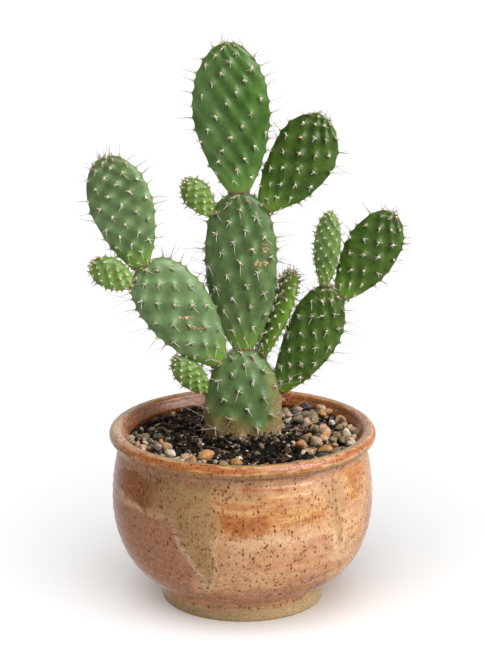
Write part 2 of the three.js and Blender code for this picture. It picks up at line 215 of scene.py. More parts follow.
class Surface(Nodes):
    """A Principled material, with short calls for what these materials use."""

    def __init__(self, name, **constants):
        self.material = bpy.data.materials.new(name)
        super().__init__(self.material)
        self.shader = self.nodes["Principled BSDF"]
        for socket, value in constants.items():
            self.shader.inputs[socket.replace("_", " ")].default_value = value
        here = self.node("TexCoord", {}, output="Object")
        self.place = self.node("VectorMath", {0: here, 3: 1 / MM}, operation="SCALE")

    def mix(self, factor, a, b):
        return self.node("Mix", {0: factor, 6: a, 7: b}, output=2, data_type="RGBA")

    def lay(self, under, over, value, low, high, cover=None):
        """A colour over another, from none of it at low to all, or cover, of it at high."""
        share = self.step(value, low, high)
        return self.mix(share if cover is None else share * cover, under, over)

    def stretched(self, stretch):
        return self.node("VectorMath", {0: self.place, 1: stretch}, operation="MULTIPLY")

    def noise(self, per_mm, detail=2.0, roughness=0.5, distortion=0.0, stretch=None):
        inputs = {
            "Vector": self.stretched(stretch) if stretch else self.place,
            "Scale": per_mm,
            "Detail": detail,
            "Roughness": roughness,
            "Distortion": distortion,
        }
        return self.node("TexNoise", inputs)

    def warped(self, per_mm, reach, stretch):
        """The place, stretched and pushed about by noise by up to reach mm."""
        push = self.node("TexNoise", {"Vector": self.place, "Scale": per_mm}, output="Color")
        push = self.node("VectorMath", {0: push, 1: (0.5, 0.5, 0.5)}, operation="SUBTRACT")
        push = self.node("VectorMath", {0: push, 3: 2 * reach}, operation="SCALE")
        return self.node("VectorMath", {0: self.stretched(stretch), 1: push}, operation="ADD")

    def specks(self, per_mm, edge, core, share, place=None):
        """Dots that are whole within core and end at edge, in a share of the cells."""
        cell = {"Vector": place or self.place, "Scale": per_mm}
        near = self.step(self.node("TexVoronoi", cell, output="Distance"), edge, core)
        drawn = self.node("SeparateColor", {0: self.node("TexVoronoi", cell, output="Color")})
        return near * self.math("LESS_THAN", drawn, share)

    def attribute(self, name):
        return self.node("Attribute", {}, output="Fac", attribute_name=name)

    def ramp(self, factor, stops, interpolation="LINEAR"):
        made = self.nodes.new("ShaderNodeValToRGB")
        self.fill(made.inputs[0], factor)
        made.color_ramp.interpolation = interpolation
        elements = made.color_ramp.elements
        while len(elements) < len(stops):
            elements.new(0.5)
        for element, (position, colour) in zip(elements, stops):
            element.position = position
            element.color = (*colour, 1.0)
        return Value(self, made.outputs[0])

    def bump(self, height, depth, under=None):
        """Relief from a height of 0 to 1 that is depth mm deep, over other relief."""
        inputs = {"Height": height, "Strength": 1.0, "Distance": depth * MM}
        if under is not None:
            inputs["Normal"] = under
        return self.node("Bump", inputs)

    def finish(self, colour, roughness=None, normal=None):
        for socket, value in (("Base Color", colour), ("Roughness", roughness), ("Normal", normal)):
            if value is not None:
                self.fill(self.shader.inputs[socket], value)
        return self.material


GLAZE = {
    "peach": (0.56, 0.285, 0.135),
    "apricot": (0.64, 0.36, 0.18),
    "cream": (0.70, 0.50, 0.30),
    "tan": (0.43, 0.205, 0.095),
    "rose": (0.44, 0.205, 0.115),
    "deep rose": (0.33, 0.135, 0.070),
    "mauve": (0.34, 0.185, 0.135),
    "umber": (0.27, 0.095, 0.022),
    "dark umber": (0.15, 0.045, 0.010),
    "ochre": (0.52, 0.215, 0.060),
    "amber": (0.62, 0.36, 0.14),
    "olive": (0.25, 0.130, 0.040),
    "khaki": (0.38, 0.225, 0.092),
    "celadon": (0.50, 0.36, 0.17),
    "rust": (0.30, 0.075, 0.016),
    "ember": (0.47, 0.150, 0.042),
    "iron": (0.080, 0.025, 0.008),
    "clay": (0.33, 0.22, 0.095),
    "light clay": (0.54, 0.36, 0.18),
}


def glaze_material():
    """Peach shino glaze with iron specks, ochre bands, khaki runs and a bare clay foot."""
    m = Surface("glaze", IOR=1.6)
    cloudy = m.noise(0.13, 5, 0.65, 0.5)
    streaked = m.noise(0.10, 5, 0.65, stretch=(0.4, 0.4, 3.0))
    mottled = m.noise(0.6, 6, 0.75, 0.3)
    runny = m.noise(0.55, 5, 0.7, stretch=(1.0, 1.0, 0.3))

    def mask(name, spread):
        """Where a glaze effect lies, with its edges torn."""
        torn = (cloudy - 0.5) * spread + (mottled - 0.5) * spread
        there = m.attribute(name)
        return m.step(there + torn, 0.15, 0.85) * m.step(there, 0.0, 0.25)

    def laid(under, name, over, cover, spread=1.0):
        return m.mix(mask(name, spread) * cover, under, over)

    colour = m.lay(GLAZE["peach"], GLAZE["apricot"], m.noise(0.045, 3, 0.55), 0.4, 0.62)
    colour = m.lay(colour, GLAZE["cream"], streaked, 0.48, 0.7, 0.45)
    colour = m.lay(colour, GLAZE["tan"], mottled, 0.52, 0.34, 0.75)
    rose = m.lay(GLAZE["deep rose"], GLAZE["rose"], mottled, 0.34, 0.6)
    colour = laid(colour, "rose", rose, 0.95)
    ochre = m.lay(GLAZE["ochre"], GLAZE["amber"], streaked, 0.38, 0.62)
    ochre = m.lay(ochre, GLAZE["rust"], mottled, 0.5, 0.3, 0.85)
    colour = laid(colour, "ochre", ochre, 1.0, 1.3)
    umber = m.lay(GLAZE["dark umber"], GLAZE["umber"], mottled, 0.34, 0.6)
    colour = laid(colour, "umber", umber, 0.95)
    khaki = m.lay(GLAZE["olive"], GLAZE["khaki"], mottled, 0.3, 0.55)
    khaki = m.lay(khaki, GLAZE["celadon"], runny, 0.5, 0.68, 0.5)
    colour = laid(colour, "khaki", khaki, 0.88, 1.4)
    colour = laid(colour, "mauve", GLAZE["mauve"], 0.75, 1.2)
    colour = m.mix(mask("pale", 0.8) * m.step(runny, 0.25, 0.65) * 0.75, colour, GLAZE["cream"])
    ember = m.lay(GLAZE["rust"], GLAZE["ember"], mottled, 0.4, 0.6)
    colour = laid(colour, "rust", ember, 0.9, 1.7)

    bent = m.warped(0.9, 1.1, (1.0, 1.0, 0.72))
    crowded = m.math("MAXIMUM", m.attribute("ochre"), m.attribute("khaki"))
    crowd = m.step(cloudy, 0.4, 0.65) * 0.4 + 0.2 + crowded * 0.16
    fine = m.specks(1.05, 0.38, 0.19, crowd + 0.08, bent)
    small = m.specks(0.5, 0.3, 0.15, crowd, bent)
    large = m.specks(0.23, 0.22, 0.11, crowd * 0.8, bent)
    halo = m.specks(0.5, 0.6, 0.3, crowd, bent)
    marks = m.math("MAXIMUM", fine * 0.75, m.math("MAXIMUM", small, large))
    colour = m.mix(halo * 0.5, colour, GLAZE["rust"])
    colour = m.mix(marks * 0.95, colour, GLAZE["iron"])

    bare = m.attribute("bare")
    clay = m.lay(GLAZE["clay"], GLAZE["light clay"], m.noise(0.9, 4, 0.7), 0.35, 0.65)
    clay = m.mix(fine * 0.8, clay, GLAZE["iron"])
    colour = m.mix(bare, colour, clay)

    roughness = 0.12 + mottled * 0.26 + bare * 0.45
    rings = m.bump(streaked, 0.3)
    pits = m.bump(1.0 - marks * 0.6, 0.12, rings)
    return m.finish(colour, roughness, m.bump(mottled, 0.16, pits))


FLESH = {
    # bloom: the colour of the pale waxy coat, which also serves for painted sheen.
    "bloom": (0.235, 0.36, 0.155),
    "freckle": (0.28, 0.36, 0.12),
    "dot": (0.55, 0.58, 0.34),
    "tired": (0.42, 0.26, 0.075),
    "bark": (0.14, 0.080, 0.025),
    "light bark": (0.62, 0.50, 0.27),
}
PAD_COLOURS = {
    # deep and light skin, the painted shade in the hollows and under the areoles, at the joint
    "old": ((0.052, 0.100, 0.022), (0.118, 0.195, 0.055),
            (0.022, 0.050, 0.008), (0.17, 0.31, 0.030)),
    "young": ((0.046, 0.115, 0.010), (0.100, 0.215, 0.034),
              (0.016, 0.056, 0.003), (0.16, 0.31, 0.04)),
    "deep": ((0.034, 0.076, 0.004), (0.080, 0.150, 0.016),
             (0.012, 0.036, 0.001), (0.13, 0.25, 0.02)),
    "bud": ((0.085, 0.170, 0.016), (0.210, 0.340, 0.055),
            (0.035, 0.090, 0.006), (0.21, 0.35, 0.06)),
}


def flesh_material(name, deep, light, hollow, base):
    """Waxy cactus skin: painted shade in its hollows and under its areoles, yellower at the joint and
    along a painted lit edge, with pale dots, a pale waxy coat and a painted sheen, and with cork where it
    is old."""
    m = Surface(name, IOR=1.45, Subsurface_Weight=0.04, Subsurface_Scale=0.0025,
                Subsurface_Radius=(0.5, 1.0, 0.3))
    fine = m.noise(0.7, 4, 0.7)
    colour = m.lay(deep, light, m.noise(0.12, 5, 0.65, 0.3), 0.32, 0.68)
    waxed = 0.5 + m.step(m.noise(0.07, 4, 0.65), 0.35, 0.7) * 0.7
    # The bloom attribute lays a pale waxy coat, with a painted sheen on top of it.
    colour = m.mix(waxed * m.attribute("bloom"), colour, FLESH["bloom"])
    # Painted shade: the hollow attribute darkens the skin in its hollows and under each areole.
    colour = m.mix(m.attribute("hollow") * 0.68, colour, hollow)
    # young: yellower skin at the joint, and on pad_edge_on a painted lit edge.
    colour = m.mix(m.attribute("young") * 0.8, colour, base)
    colour = m.lay(colour, FLESH["freckle"], fine, 0.5, 0.75, 0.18)
    colour = m.mix(m.specks(0.5, 0.17, 0.07, 0.35) * 0.4, colour, FLESH["dot"])
    cork = m.attribute("cork")
    corky = cork + (m.noise(0.5, 5, 0.75) - 0.5) * 2.4
    corky = m.step(corky, 0.4, 0.9) * m.step(cork, 0.0, 0.35)
    colour = m.mix(cork * 0.8, colour, FLESH["tired"])
    bark = m.lay(FLESH["bark"], FLESH["light bark"], m.noise(1.3, 4, 0.75), 0.42, 0.68)
    colour = m.mix(corky * 0.75, colour, bark)
    roughness = 0.3 + fine * 0.16 + corky * 0.35
    skin = m.bump(m.noise(2.5, 2, 0.6), 0.05)
    return m.finish(colour, roughness, m.bump(m.noise(1.1, 4, 0.75) * (corky + 0.12), 0.5, skin))


def wool_material(name, dark, pale):
    """Felt of an areole, and the crust of a scab."""
    m = Surface(name, Roughness=0.9, Sheen_Weight=0.3)
    fibres = m.noise(3.5, 3, 0.7)
    colour = m.lay(dark, pale, m.attribute("tint") * 0.6 + fibres * 0.5, 0.2, 0.8)
    return m.finish(colour, normal=m.bump(fibres, 0.25))


def spine_material():
    """Straw-white spines, browner at the root and the point, and dark brown where shade is high: painted
    shade on the edge spines, which stand dark against the white floor.
    """
    m = Surface("spine", Roughness=0.45)
    along = m.attribute("along")
    streak = m.noise(2.0, 2, 0.5, stretch=(1, 1, 0.3))
    straw = m.mix(streak, (0.86, 0.80, 0.66), (0.95, 0.92, 0.84))
    straw = m.mix(m.attribute("shade"), straw, (0.15, 0.09, 0.07))
    colour = m.lay(straw, (0.45, 0.28, 0.18), along, 0.15, 0.0)
    return m.finish(m.lay(colour, (0.40, 0.27, 0.20), along, 0.85, 1.0))


def glochid_material():
    """Bristles round each areole, from russet to straw."""
    m = Surface("glochid", Roughness=0.5)
    return m.finish(m.lay((0.36, 0.17, 0.07), (0.70, 0.52, 0.30), m.attribute("tint"), 0.3, 0.7))


def crusty_material(name, dark, light, per_mm, detail, low, high, depth):
    """A dry, pitted surface, dark in its pits."""
    m = Surface(name, Roughness=0.85)
    crust = m.noise(per_mm, detail, 0.7)
    return m.finish(m.lay(dark, light, crust, low, high), normal=m.bump(crust, depth))


def cork_material():
    """Brown cork round the joints."""
    return crusty_material("cork", (0.07, 0.035, 0.014), (0.26, 0.15, 0.065), 1.2, 4, 0.35, 0.65, 0.4)


def perlite_material():
    """White, porous grains."""
    return crusty_material("perlite", (0.45, 0.42, 0.37), (0.86, 0.84, 0.78), 2.5, 3, 0.3, 0.6, 0.3)


CRUMB_COLOURS = (
    # tint, colour
    (0.30, (0.012, 0.007, 0.004)),
    (0.55, (0.036, 0.020, 0.011)),
    (0.77, (0.12, 0.070, 0.040)),
    (0.88, (0.25, 0.17, 0.11)),
    (0.96, (0.48, 0.40, 0.31)),
)


def soil_material():
    """Near-black peat with brown fibres. Each crumb has its own tint."""
    m = Surface("soil", Specular_IOR_Level=0.22)
    clods = m.noise(0.35, 5, 0.75)
    grain = m.noise(1.8, 4, 0.8)
    tint = m.attribute("tint")
    colour = m.lay((0.004, 0.003, 0.002), (0.016, 0.010, 0.006), clods, 0.4, 0.7)
    colour = m.lay(colour, m.ramp(tint, CRUMB_COLOURS), tint, 0.3, 0.6)
    colour = m.lay(colour, (0.20, 0.13, 0.085), grain, 0.6, 0.76)
    roughness = m.node("MapRange", {0: grain, 1: 0.3, 2: 0.7, 3: 0.9, 4: 0.4})
    return m.finish(colour, roughness, m.bump(grain, 0.6, m.bump(clods, 0.9)))


STONE_COLOURS = (
    # share of the stones from here on, colour
    (0.00, (0.60, 0.28, 0.085)),
    (0.16, (0.47, 0.27, 0.13)),
    (0.30, (0.25, 0.19, 0.10)),
    (0.47, (0.17, 0.11, 0.07)),
    (0.61, (0.038, 0.045, 0.050)),
    (0.74, (0.56, 0.36, 0.235)),
    (0.91, (0.68, 0.59, 0.43)),
)


def stone_material():
    """Mixed river gravel: each stone has its own colour, veins and dust."""
    m = Surface("gravel", Specular_IOR_Level=0.4)
    tint = m.ramp(m.attribute("tint"), STONE_COLOURS, "CONSTANT")
    veins = m.noise(0.55, 4, 0.65, 0.8)
    grain = m.noise(3.0, 2, 0.7)
    colour = m.lay(m.mix(0.6, tint, (0.09, 0.055, 0.03)), tint, veins, 0.38, 0.62)
    colour = m.lay(colour, (0.60, 0.52, 0.42), grain, 0.5, 0.7, 0.35)
    return m.finish(colour, 0.5 + veins * 0.35, m.bump(veins, 0.3, m.bump(grain, 0.1)))


def floor_material():
    """Matt white studio paper."""
    m = Surface("floor", Roughness=0.8, Specular_IOR_Level=0.1)
    return m.finish(m.mix(m.noise(0.004, 2), (0.93, 0.93, 0.93), (0.94, 0.94, 0.94)))


# ---- Mesh helpers ----


def make_piece(name, points, faces, material, replaces=(), smooth=True, values=None):
    """A piece of the object: points in millimetres, and values for its shader by name."""
    mesh = bpy.data.meshes.new(name)
    mesh.from_pydata((np.asarray(points) * MM).tolist(), [], faces)
    mesh.polygons.foreach_set("use_smooth", [smooth] * len(mesh.polygons))
    for key, numbers in (values or {}).items():
        attribute = mesh.attributes.new(key, "FLOAT", "POINT")
        attribute.data.foreach_set("value", np.ravel(numbers).astype(np.float32))
    mesh.materials.append(material)
    mesh.update()
    piece = placed(name, mesh)
    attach(piece, BODY)
    if replaces:
        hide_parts(*replaces)


def field(points, per_mm, seed, octaves=2):
    """Smooth noise, from about -1 to 1, at each point."""
    shift = Vector((7.3, 3.1, 5.7)) * seed
    flat = np.reshape(points, (-1, 3)) * per_mm
    values = [noise.fractal(Vector(point) + shift, 1.0, 2.0, octaves) for point in flat.tolist()]
    return np.array(values).reshape(np.shape(points)[:-1])


def smoothstep(values, low, high):
    share = np.clip((np.asarray(values, float) - low) / (high - low), 0, 1)
    return share * share * (3 - 2 * share)


def bell(values, centre, width):
    """1 at the centre, falling off smoothly on both sides."""
    return np.exp(-(((values - centre) / width) ** 2))


def unit(vectors):
    vectors = np.asarray(vectors, float)
    return vectors / np.maximum(np.linalg.norm(vectors, axis=-1, keepdims=True), 1e-9)


def turned(x, y, degrees):
    turn = math.radians(degrees)
    return x * math.cos(turn) - y * math.sin(turn), x * math.sin(turn) + y * math.cos(turn)


def around(count):
    return np.linspace(0, 2 * np.pi, count, endpoint=False)


def grid_faces(rows, columns, ring=False):
    """Quads over a net of points that closes on itself across its columns. Where it is a ring,
    its last row joins its first."""
    faces = []
    for row in range(rows if ring else rows - 1):
        low = row * columns
        high = (row + 1) % rows * columns
        for column in range(columns):
            beside = (column + 1) % columns
            faces.append((low + column, low + beside, high + beside, high + column))
    return faces


def repeated(faces, count, stride):
    return [tuple(index + k * stride for index in face) for k in range(count) for face in faces]


def ball(subdivisions):
    """The points and triangles of a round ball of radius 1."""
    shape = bmesh.new()
    bmesh.ops.create_icosphere(shape, subdivisions=subdivisions, radius=1.0)
    points = np.array([vertex.co[:] for vertex in shape.verts])
    faces = [tuple(vertex.index for vertex in face.verts) for face in shape.faces]
    shape.free()
    return points, faces


FACETS = 7


def worn_flat(shapes, facets, seed):
    """How far out a few random sides of each ball reach, as on broken stones."""
    rng = np.random.default_rng(seed)
    sides = unit(rng.normal(size=(len(shapes), FACETS, 3)))
    depth = rng.uniform(1 - facets, 1.0, (len(shapes), 1, FACETS))
    facing = np.einsum("kni,ksi->kns", shapes, sides)
    return np.where(facing > 0.05, depth / np.maximum(facing, 0.05), 9.0).min(-1)


def make_lumps(name, material, centres, axes, tints, form, replaces=(), smooth=True):
    """A piece of lumpy balls, each with its own three half axes, as rows, and its own tint.
    The form is how finely they are divided, how rough and how far worn flat they are, and the
    seed of their noise."""
    subdivisions, roughness, facets, seed = form
    template, faces = ball(subdivisions)
    shapes = np.repeat(template[None], len(centres), axis=0)
    apart = np.arange(len(centres))[:, None, None] * np.array((1.7, 2.3, 3.1))
    swell = 1 + roughness * field(shapes + apart, 0.9, seed)
    if facets:
        swell = np.minimum(swell, worn_flat(shapes, facets, seed))
    points = np.einsum("kni,kij->knj", shapes * swell[..., None], axes) + centres[:, None]
    faces = repeated(faces, len(centres), len(template))
    values = {} if tints is None else {"tint": np.repeat(tints, len(template))}
    make_piece(name, points.reshape(-1, 3), faces, material, replaces, smooth, values)


def needles(roots, directions, lengths, radii, bends, sides, cuts):
    """Tapered needles, and how far along its needle each point is. cuts are the shares of its
    length at which a needle has a ring of points."""
    directions = unit(directions)
    helper = np.where(np.abs(directions[:, 2:]) < 0.9, [[0.0, 0.0, 1.0]], [[1.0, 0.0, 0.0]])
    across = unit(np.cross(directions, helper))
    over = np.cross(directions, across)
    rows = []
    for cut in cuts:
        middle = roots + directions * (lengths * cut)[:, None] + bends * cut**2
        for turn in 2 * math.pi * np.arange(sides) / sides:
            aside = across * math.cos(turn) + over * math.sin(turn)
            rows.append(middle + aside * (radii * (1 - 0.5 * cut))[:, None])
    rows.append(roots + directions * lengths[:, None] + bends)
    points = np.stack(rows, axis=1).reshape(-1, 3)
    tip = len(cuts) * sides
    last = tip - sides
    faces = [tuple(reversed(range(sides)))] + grid_faces(len(cuts), sides)
    faces += [(last + side, last + (side + 1) % sides, tip) for side in range(sides)]
    along = np.append(np.repeat(cuts, sides), 1.0)
    return points, repeated(faces, len(roots), tip + 1), np.tile(along, len(roots))


# ---- Pot ----

POT = {
    "foot": 48.2, "foot_top": (50.4, 12.7), "foot_width": 9.0, "recess": 4.0, "drain": 6.0,
    "widest": 63.5, "neck": 94.0, "rim": (75.9, 103.1), "roll": 4.1, "floor": 12.0,
    # centre and reach of the bulge, and how far it runs below and above the widest height
    "body": (42.7, 35.7, 52.0, 67.9), "cavity": (30.0, 42.0, 51.5, 91.2),
}
POT_SEGMENTS = 432
FOOT_ROWS = 11  # rows of the profile under the foot, which the glaze doesn't reach
THROWN = {"low": 13.5, "high": 98.8, "depth": 0.12, "pitch": 6.4, "fine_pitch": 2.7}
GROOVES = (
    # height, depth, width
    (98.3, 0.45, 0.6), (95.6, 0.3, 0.5), (93.4, 0.2, 0.6),
)


def wall_radius(wall, height):
    """A quarter of an ellipse below the widest height and another above it."""
    centre, reach, lower, upper = POT[wall]
    share = (height - POT["widest"]) / np.where(height < POT["widest"], lower, upper)
    return centre + reach * np.sqrt(np.maximum(0, 1 - share * share))


def pot_profile():
    """Radius and height along the wall: under the foot, up the outside and down the inside."""
    foot, recess, drain, floor = POT["foot"], POT["recess"], POT["drain"], POT["floor"]
    inner = foot - POT["foot_width"]
    top, rise = POT["foot_top"]
    under = [(drain, recess), (20, recess), (30, recess), (inner - 1, recess), (inner - 0.2, recess - 0.8)]
    ground = [(inner, 0.6), (inner + 0.6, 0.05), (inner + 3, 0), (foot - 3, 0), (foot - 0.9, 0)]
    ground.append((foot - 0.25, 0.25))
    flare = np.linspace(0.9, rise - 0.4, 16)
    flared = np.stack([foot + (top - foot) * (flare / rise) ** 0.8, flare], 1)
    low = math.asin((rise + 0.3 - POT["widest"]) / POT["body"][2])
    turn = np.concatenate([np.linspace(low, -0.75, 14)[:-1], np.linspace(-0.75, 0, 34)[:-1]])
    belly = POT["widest"] + POT["body"][2] * np.sin(turn)
    shoulder = np.linspace(POT["widest"], 99.0, 42)
    outside = np.concatenate([belly, shoulder])
    wall = np.stack([wall_radius("body", np.minimum(outside, POT["neck"])), outside], 1)
    turn = np.radians(np.linspace(-108, 172, 34))
    rim = np.array(POT["rim"]) + POT["roll"] * np.stack([np.cos(turn), np.sin(turn)], 1)
    down = np.concatenate([np.linspace(101, 88, 14), np.linspace(82, 24, 12), [18, 14.5]])
    inside = np.stack([wall_radius("cavity", down), down], 1)
    bottom = [(POT["cavity"][0], floor), (18, floor), (drain, floor), (drain, 8)]
    return np.concatenate([under, ground, flared, wall, rim, inside, bottom])


# Patches of glaze round the pot, in degrees from the front and to the right, and in height.
GLAZE_PATCHES = {
    # effect: strength, left, right, low, high of each patch
    "umber": (
        (1.1, -72, -50, 77, 91), (0.85, -62, -36, 73, 91), (0.55, -46, -22, 71, 90),
        (0.7, 126, 166, 72, 92),
    ),
    "khaki": (
        (0.2, -54, -36, 68, 90), (0.5, -46, -20, 66, 94), (0.75, -30, -10, 64, 94),
        (0.55, -18, 8, 84, 94), (0.7, 222, 244, 68, 93),
    ),
    "ochre": (
        (1.1, -15, 14, 65, 79), (0.8, 6, 38, 69, 80), (0.7, -14, 18, 79, 90), (0.6, 14, 36, 81, 90),
        (1.2, 52, 74, 75, 95), (0.9, 86, 106, 67, 92), (0.8, 158, 176, 66, 92), (0.9, 194, 222, 66, 92),
    ),
    "rust": (
        (0.85, -12, 12, 66, 76), (0.55, -70, -44, 75, 91), (0.45, -13, 30, 79, 87),
        (0.5, 54, 70, 80, 92), (0.4, 10, 44, 66, 74),
    ),
    # The rose patches low on the pot darken it towards the foot: a pinkish glaze, and painted shade there
    # too.
    "rose": (
        (1.0, -128, -24, 12, 70), (0.9, -128, -66, 60, 98), (0.8, -70, -16, 91, 98),
        (0.75, -30, 14, 12, 24), (0.65, 2, 58, 12, 30), (0.4, 16, 52, 26, 42), (0.5, -16, 60, 91, 98),
        (0.5, 22, 46, 44, 60), (0.35, -14, 20, 40, 56), (0.55, 66, 84, 30, 96),
        (1.0, 116, 190, 14, 62), (0.7, 180, 240, 12, 28),
    ),
    "mauve": ((0.7, 34, 52, 20, 28), (0.6, 20, 48, 30, 34), (0.7, 150, 185, 24, 34)),
    "pale": (
        (0.7, 12, 32, 83, 87), (0.55, 2, 30, 56, 66), (0.6, -17, 2, 28, 34), (0.6, -34, -18, 28, 32),
        (0.5, 44, 70, 22, 34), (0.6, 200, 225, 40, 58),
    ),
}

RUNS = (
    # strength of a run of glaze, heights, and its left and right edges there
    (0.85, (26, 45, 66, 80, 93), (-18.4, -23, -30, -38, -42), (-17, -13, -10, -11, -12)),
    (0.62, (39, 51, 62, 78, 92), (48.4, 45.5, 41, 37, 31), (49.8, 50, 50.5, 51.5, 53)),
    (0.8, (34, 52, 70, 92), (118, 112, 108, 103), (119, 123, 126, 131)),
    (0.7, (45, 60, 76, 92), (178, 171, 168, 163), (179, 182, 186, 192)),
    (0.8, (30, 50, 72, 92), (-121, -127, -133, -138), (-120, -114, -110, -106)),
)
STREAKS = (
    # strength of a thin rust streak, height, slope in mm a degree, width, and its patch
    (1.0, 92.4, 0.0, 1.1, (-16, 22, 80, 99)),
    (0.8, 84.3, 0.0, 1.1, (-10, 12, 70, 95)),
    (1.0, 72.75, 0.05, 1.2, (-62, -30, 60, 80)),
)
GREY_REFLECTION_SIDE = -95  # the side of the rim that is greyer, with a painted reflection there, in degrees


def wrapped(degrees):
    return (np.asarray(degrees) + 180) % 360 - 180


def patch(turn, height, left, right, low, high):
    """A patch of glaze with broad, soft edges, so that the material can tear them."""
    across = (right - left) / 2 - np.abs(wrapped(turn - (left + right) / 2))
    tall = smoothstep(height, low - 4, low + 4) * smoothstep(height, high + 2.6, high - 2.6)
    return smoothstep(across, -7, 7) * tall


def run_masks(turn, height):
    """The khaki runs and the pale lines along their edges."""
    khaki = np.zeros_like(height)
    pale = np.zeros_like(height)
    for strength, heights, lefts, rights in RUNS:
        low, high = heights[0], heights[-1]
        left = np.interp(height, heights, lefts)
        right = np.interp(height, heights, rights)
        off = np.abs(wrapped(turn - (left + right) / 2))
        half = (right - left) / 2
        within = smoothstep(height, low - 2, low + 1) * smoothstep(height, high + 2.5, high - 2)
        khaki = np.maximum(khaki, strength * smoothstep(half - off, -5.5, 5.5) * within)
        line = bell(off, half, 1.7) * within * smoothstep(height, high - 12, high - 40)
        pale = np.maximum(pale, 0.8 * line)
    return khaki, pale


def glaze_on_rim(values, points, turn, roll, rim):
    """A rust stripe along the rolled rim, broken by streaks, between two beige edges."""
    # greyed: the left of the rim is greyer and paler, partly glaze and partly a painted reflection.
    grey_and_reflection = smoothstep(np.abs(wrapped(turn - GREY_REFLECTION_SIDE)), 50, 25)
    upper = smoothstep(roll, 60, 78) * smoothstep(roll, 125, 105)
    beige = np.clip(smoothstep(roll, 2, -20) + upper, 0, 1)
    stripe = bell(roll + 9 * field(points, 0.06, 21), 30, 21) * (1 - 0.75 * grey_and_reflection)
    streaks = field(np.stack([turn / 16, roll / 13, 0 * roll], -1), 1.0, 28, 3)
    stripe = np.clip(stripe + 0.9 * (1 - 0.5 * grey_and_reflection) * smoothstep(streaks, 0.1, 0.5), 0, 1)
    inward = smoothstep(roll, 105, 140) * smoothstep(np.cos(np.radians(turn)), 0.2, -0.5)
    on_rim = {
        "khaki": beige,
        "rust": 0.95 * stripe + 0.5 * inward,
        "umber": 0.9 * inward + 0.7 * smoothstep(-streaks, 0.15, 0.5),
        "ochre": stripe,
        "rose": 0.3 + 0.5 * grey_and_reflection,
        "pale": 0.55 * grey_and_reflection,
    }
    for name, amount in on_rim.items():
        values[name] = np.where(rim, amount, values[name])


def glaze_lines(values, points, turn, high, height, glaze_edge, rim):
    """The lines under the rim, the thin streaks on the shoulder and the edge over the foot."""
    lines = 1.2 * bell(high, 98.2, 0.6) + 0.7 * bell(high, 95.6, 0.5)
    values["mauve"] = np.maximum(values["mauve"], np.where(rim, 0, lines))
    edge = bell(high, 96.9, 0.6) + bell(high, 94.4, 0.7)
    values["khaki"] = np.maximum(values["khaki"], np.where(rim, 0, 0.55 * edge))
    streak = 1.1 * bell(height, glaze_edge + 0.5, 0.6)
    for strength, middle, slope, width, area in STREAKS:
        streak = streak + strength * bell(high, middle + slope * turn, width) * patch(turn, high, *area)
    torn = smoothstep(field(points * (1, 1, 3), 0.09, 24), -0.35, 0.35)
    values["rust"] = np.clip(values["rust"] + 0.75 * streak * torn, 0, 1)
    values["khaki"] = np.maximum(values["khaki"], 0.8 * bell(height, glaze_edge + 2.2, 0.9))


def glaze_inside(values, points, inside):
    """Dark and mottled, as far as the soil leaves the inside open."""
    within = {
        "rose": 0.8,
        "umber": 0.95 + 0.5 * field(points, 0.07, 17),
        "khaki": 0.1 + 0.7 * field(points, 0.06, 22),
        "rust": 0.25 + 0.8 * field(points, 0.1, 23),
    }
    for name, amount in within.items():
        values[name] = np.where(inside, amount, values[name])


def pot_values(points, radius, turn, height, outer):
    """What the glaze does at each place of the wall. outer is 1 up to the top of the rim."""
    turn = wrapped(turn + 3.2 * field(points, 0.05, 14) + 0.8 * field(points, 0.4, 18))
    high = height + 1.8 * field(points, 0.07, 15) + 0.6 * field(points, 0.3, 16)
    strayed = wrapped(turn + 5.5 * field(points, 0.06, 25, 3))
    blotched = high + 3.2 * field(points, 0.05, 26, 3)
    values = {name: np.zeros_like(height) for name in GLAZE_PATCHES}
    values["khaki"], values["pale"] = run_masks(turn, high)
    for name, areas in GLAZE_PATCHES.items():
        for strength, *area in areas:
            values[name] = np.maximum(values[name], strength * patch(strayed, blotched, *area))
    values["ochre"] = values["ochre"] * (1 - 0.6 * values["khaki"])
    values["rust"] = values["rust"] * (1 - values["khaki"])
    up, out = height - POT["rim"][1], radius - POT["rim"][0]
    rim = np.hypot(up, out) < POT["roll"] + 0.4
    glaze_on_rim(values, points, turn, np.degrees(np.arctan2(up, out)), rim)
    glaze_edge = 7.0 + 0.8 * np.sin(np.radians(turn * 2 + 60)) + 0.4 * np.sin(np.radians(turn * 7 + 40))
    glaze_edge = glaze_edge + 3.4 * smoothstep(turn, 14, 60) * smoothstep(turn, 150, 100)
    glaze_lines(values, points, turn, high, height, glaze_edge, rim)
    for name in values:
        values[name] = values[name] * np.maximum(outer, rim)
    glaze_inside(values, points, (outer < 0.5) & ~rim)
    values["bare"] = smoothstep(height, glaze_edge + 0.35, glaze_edge - 0.35) * outer
    return values


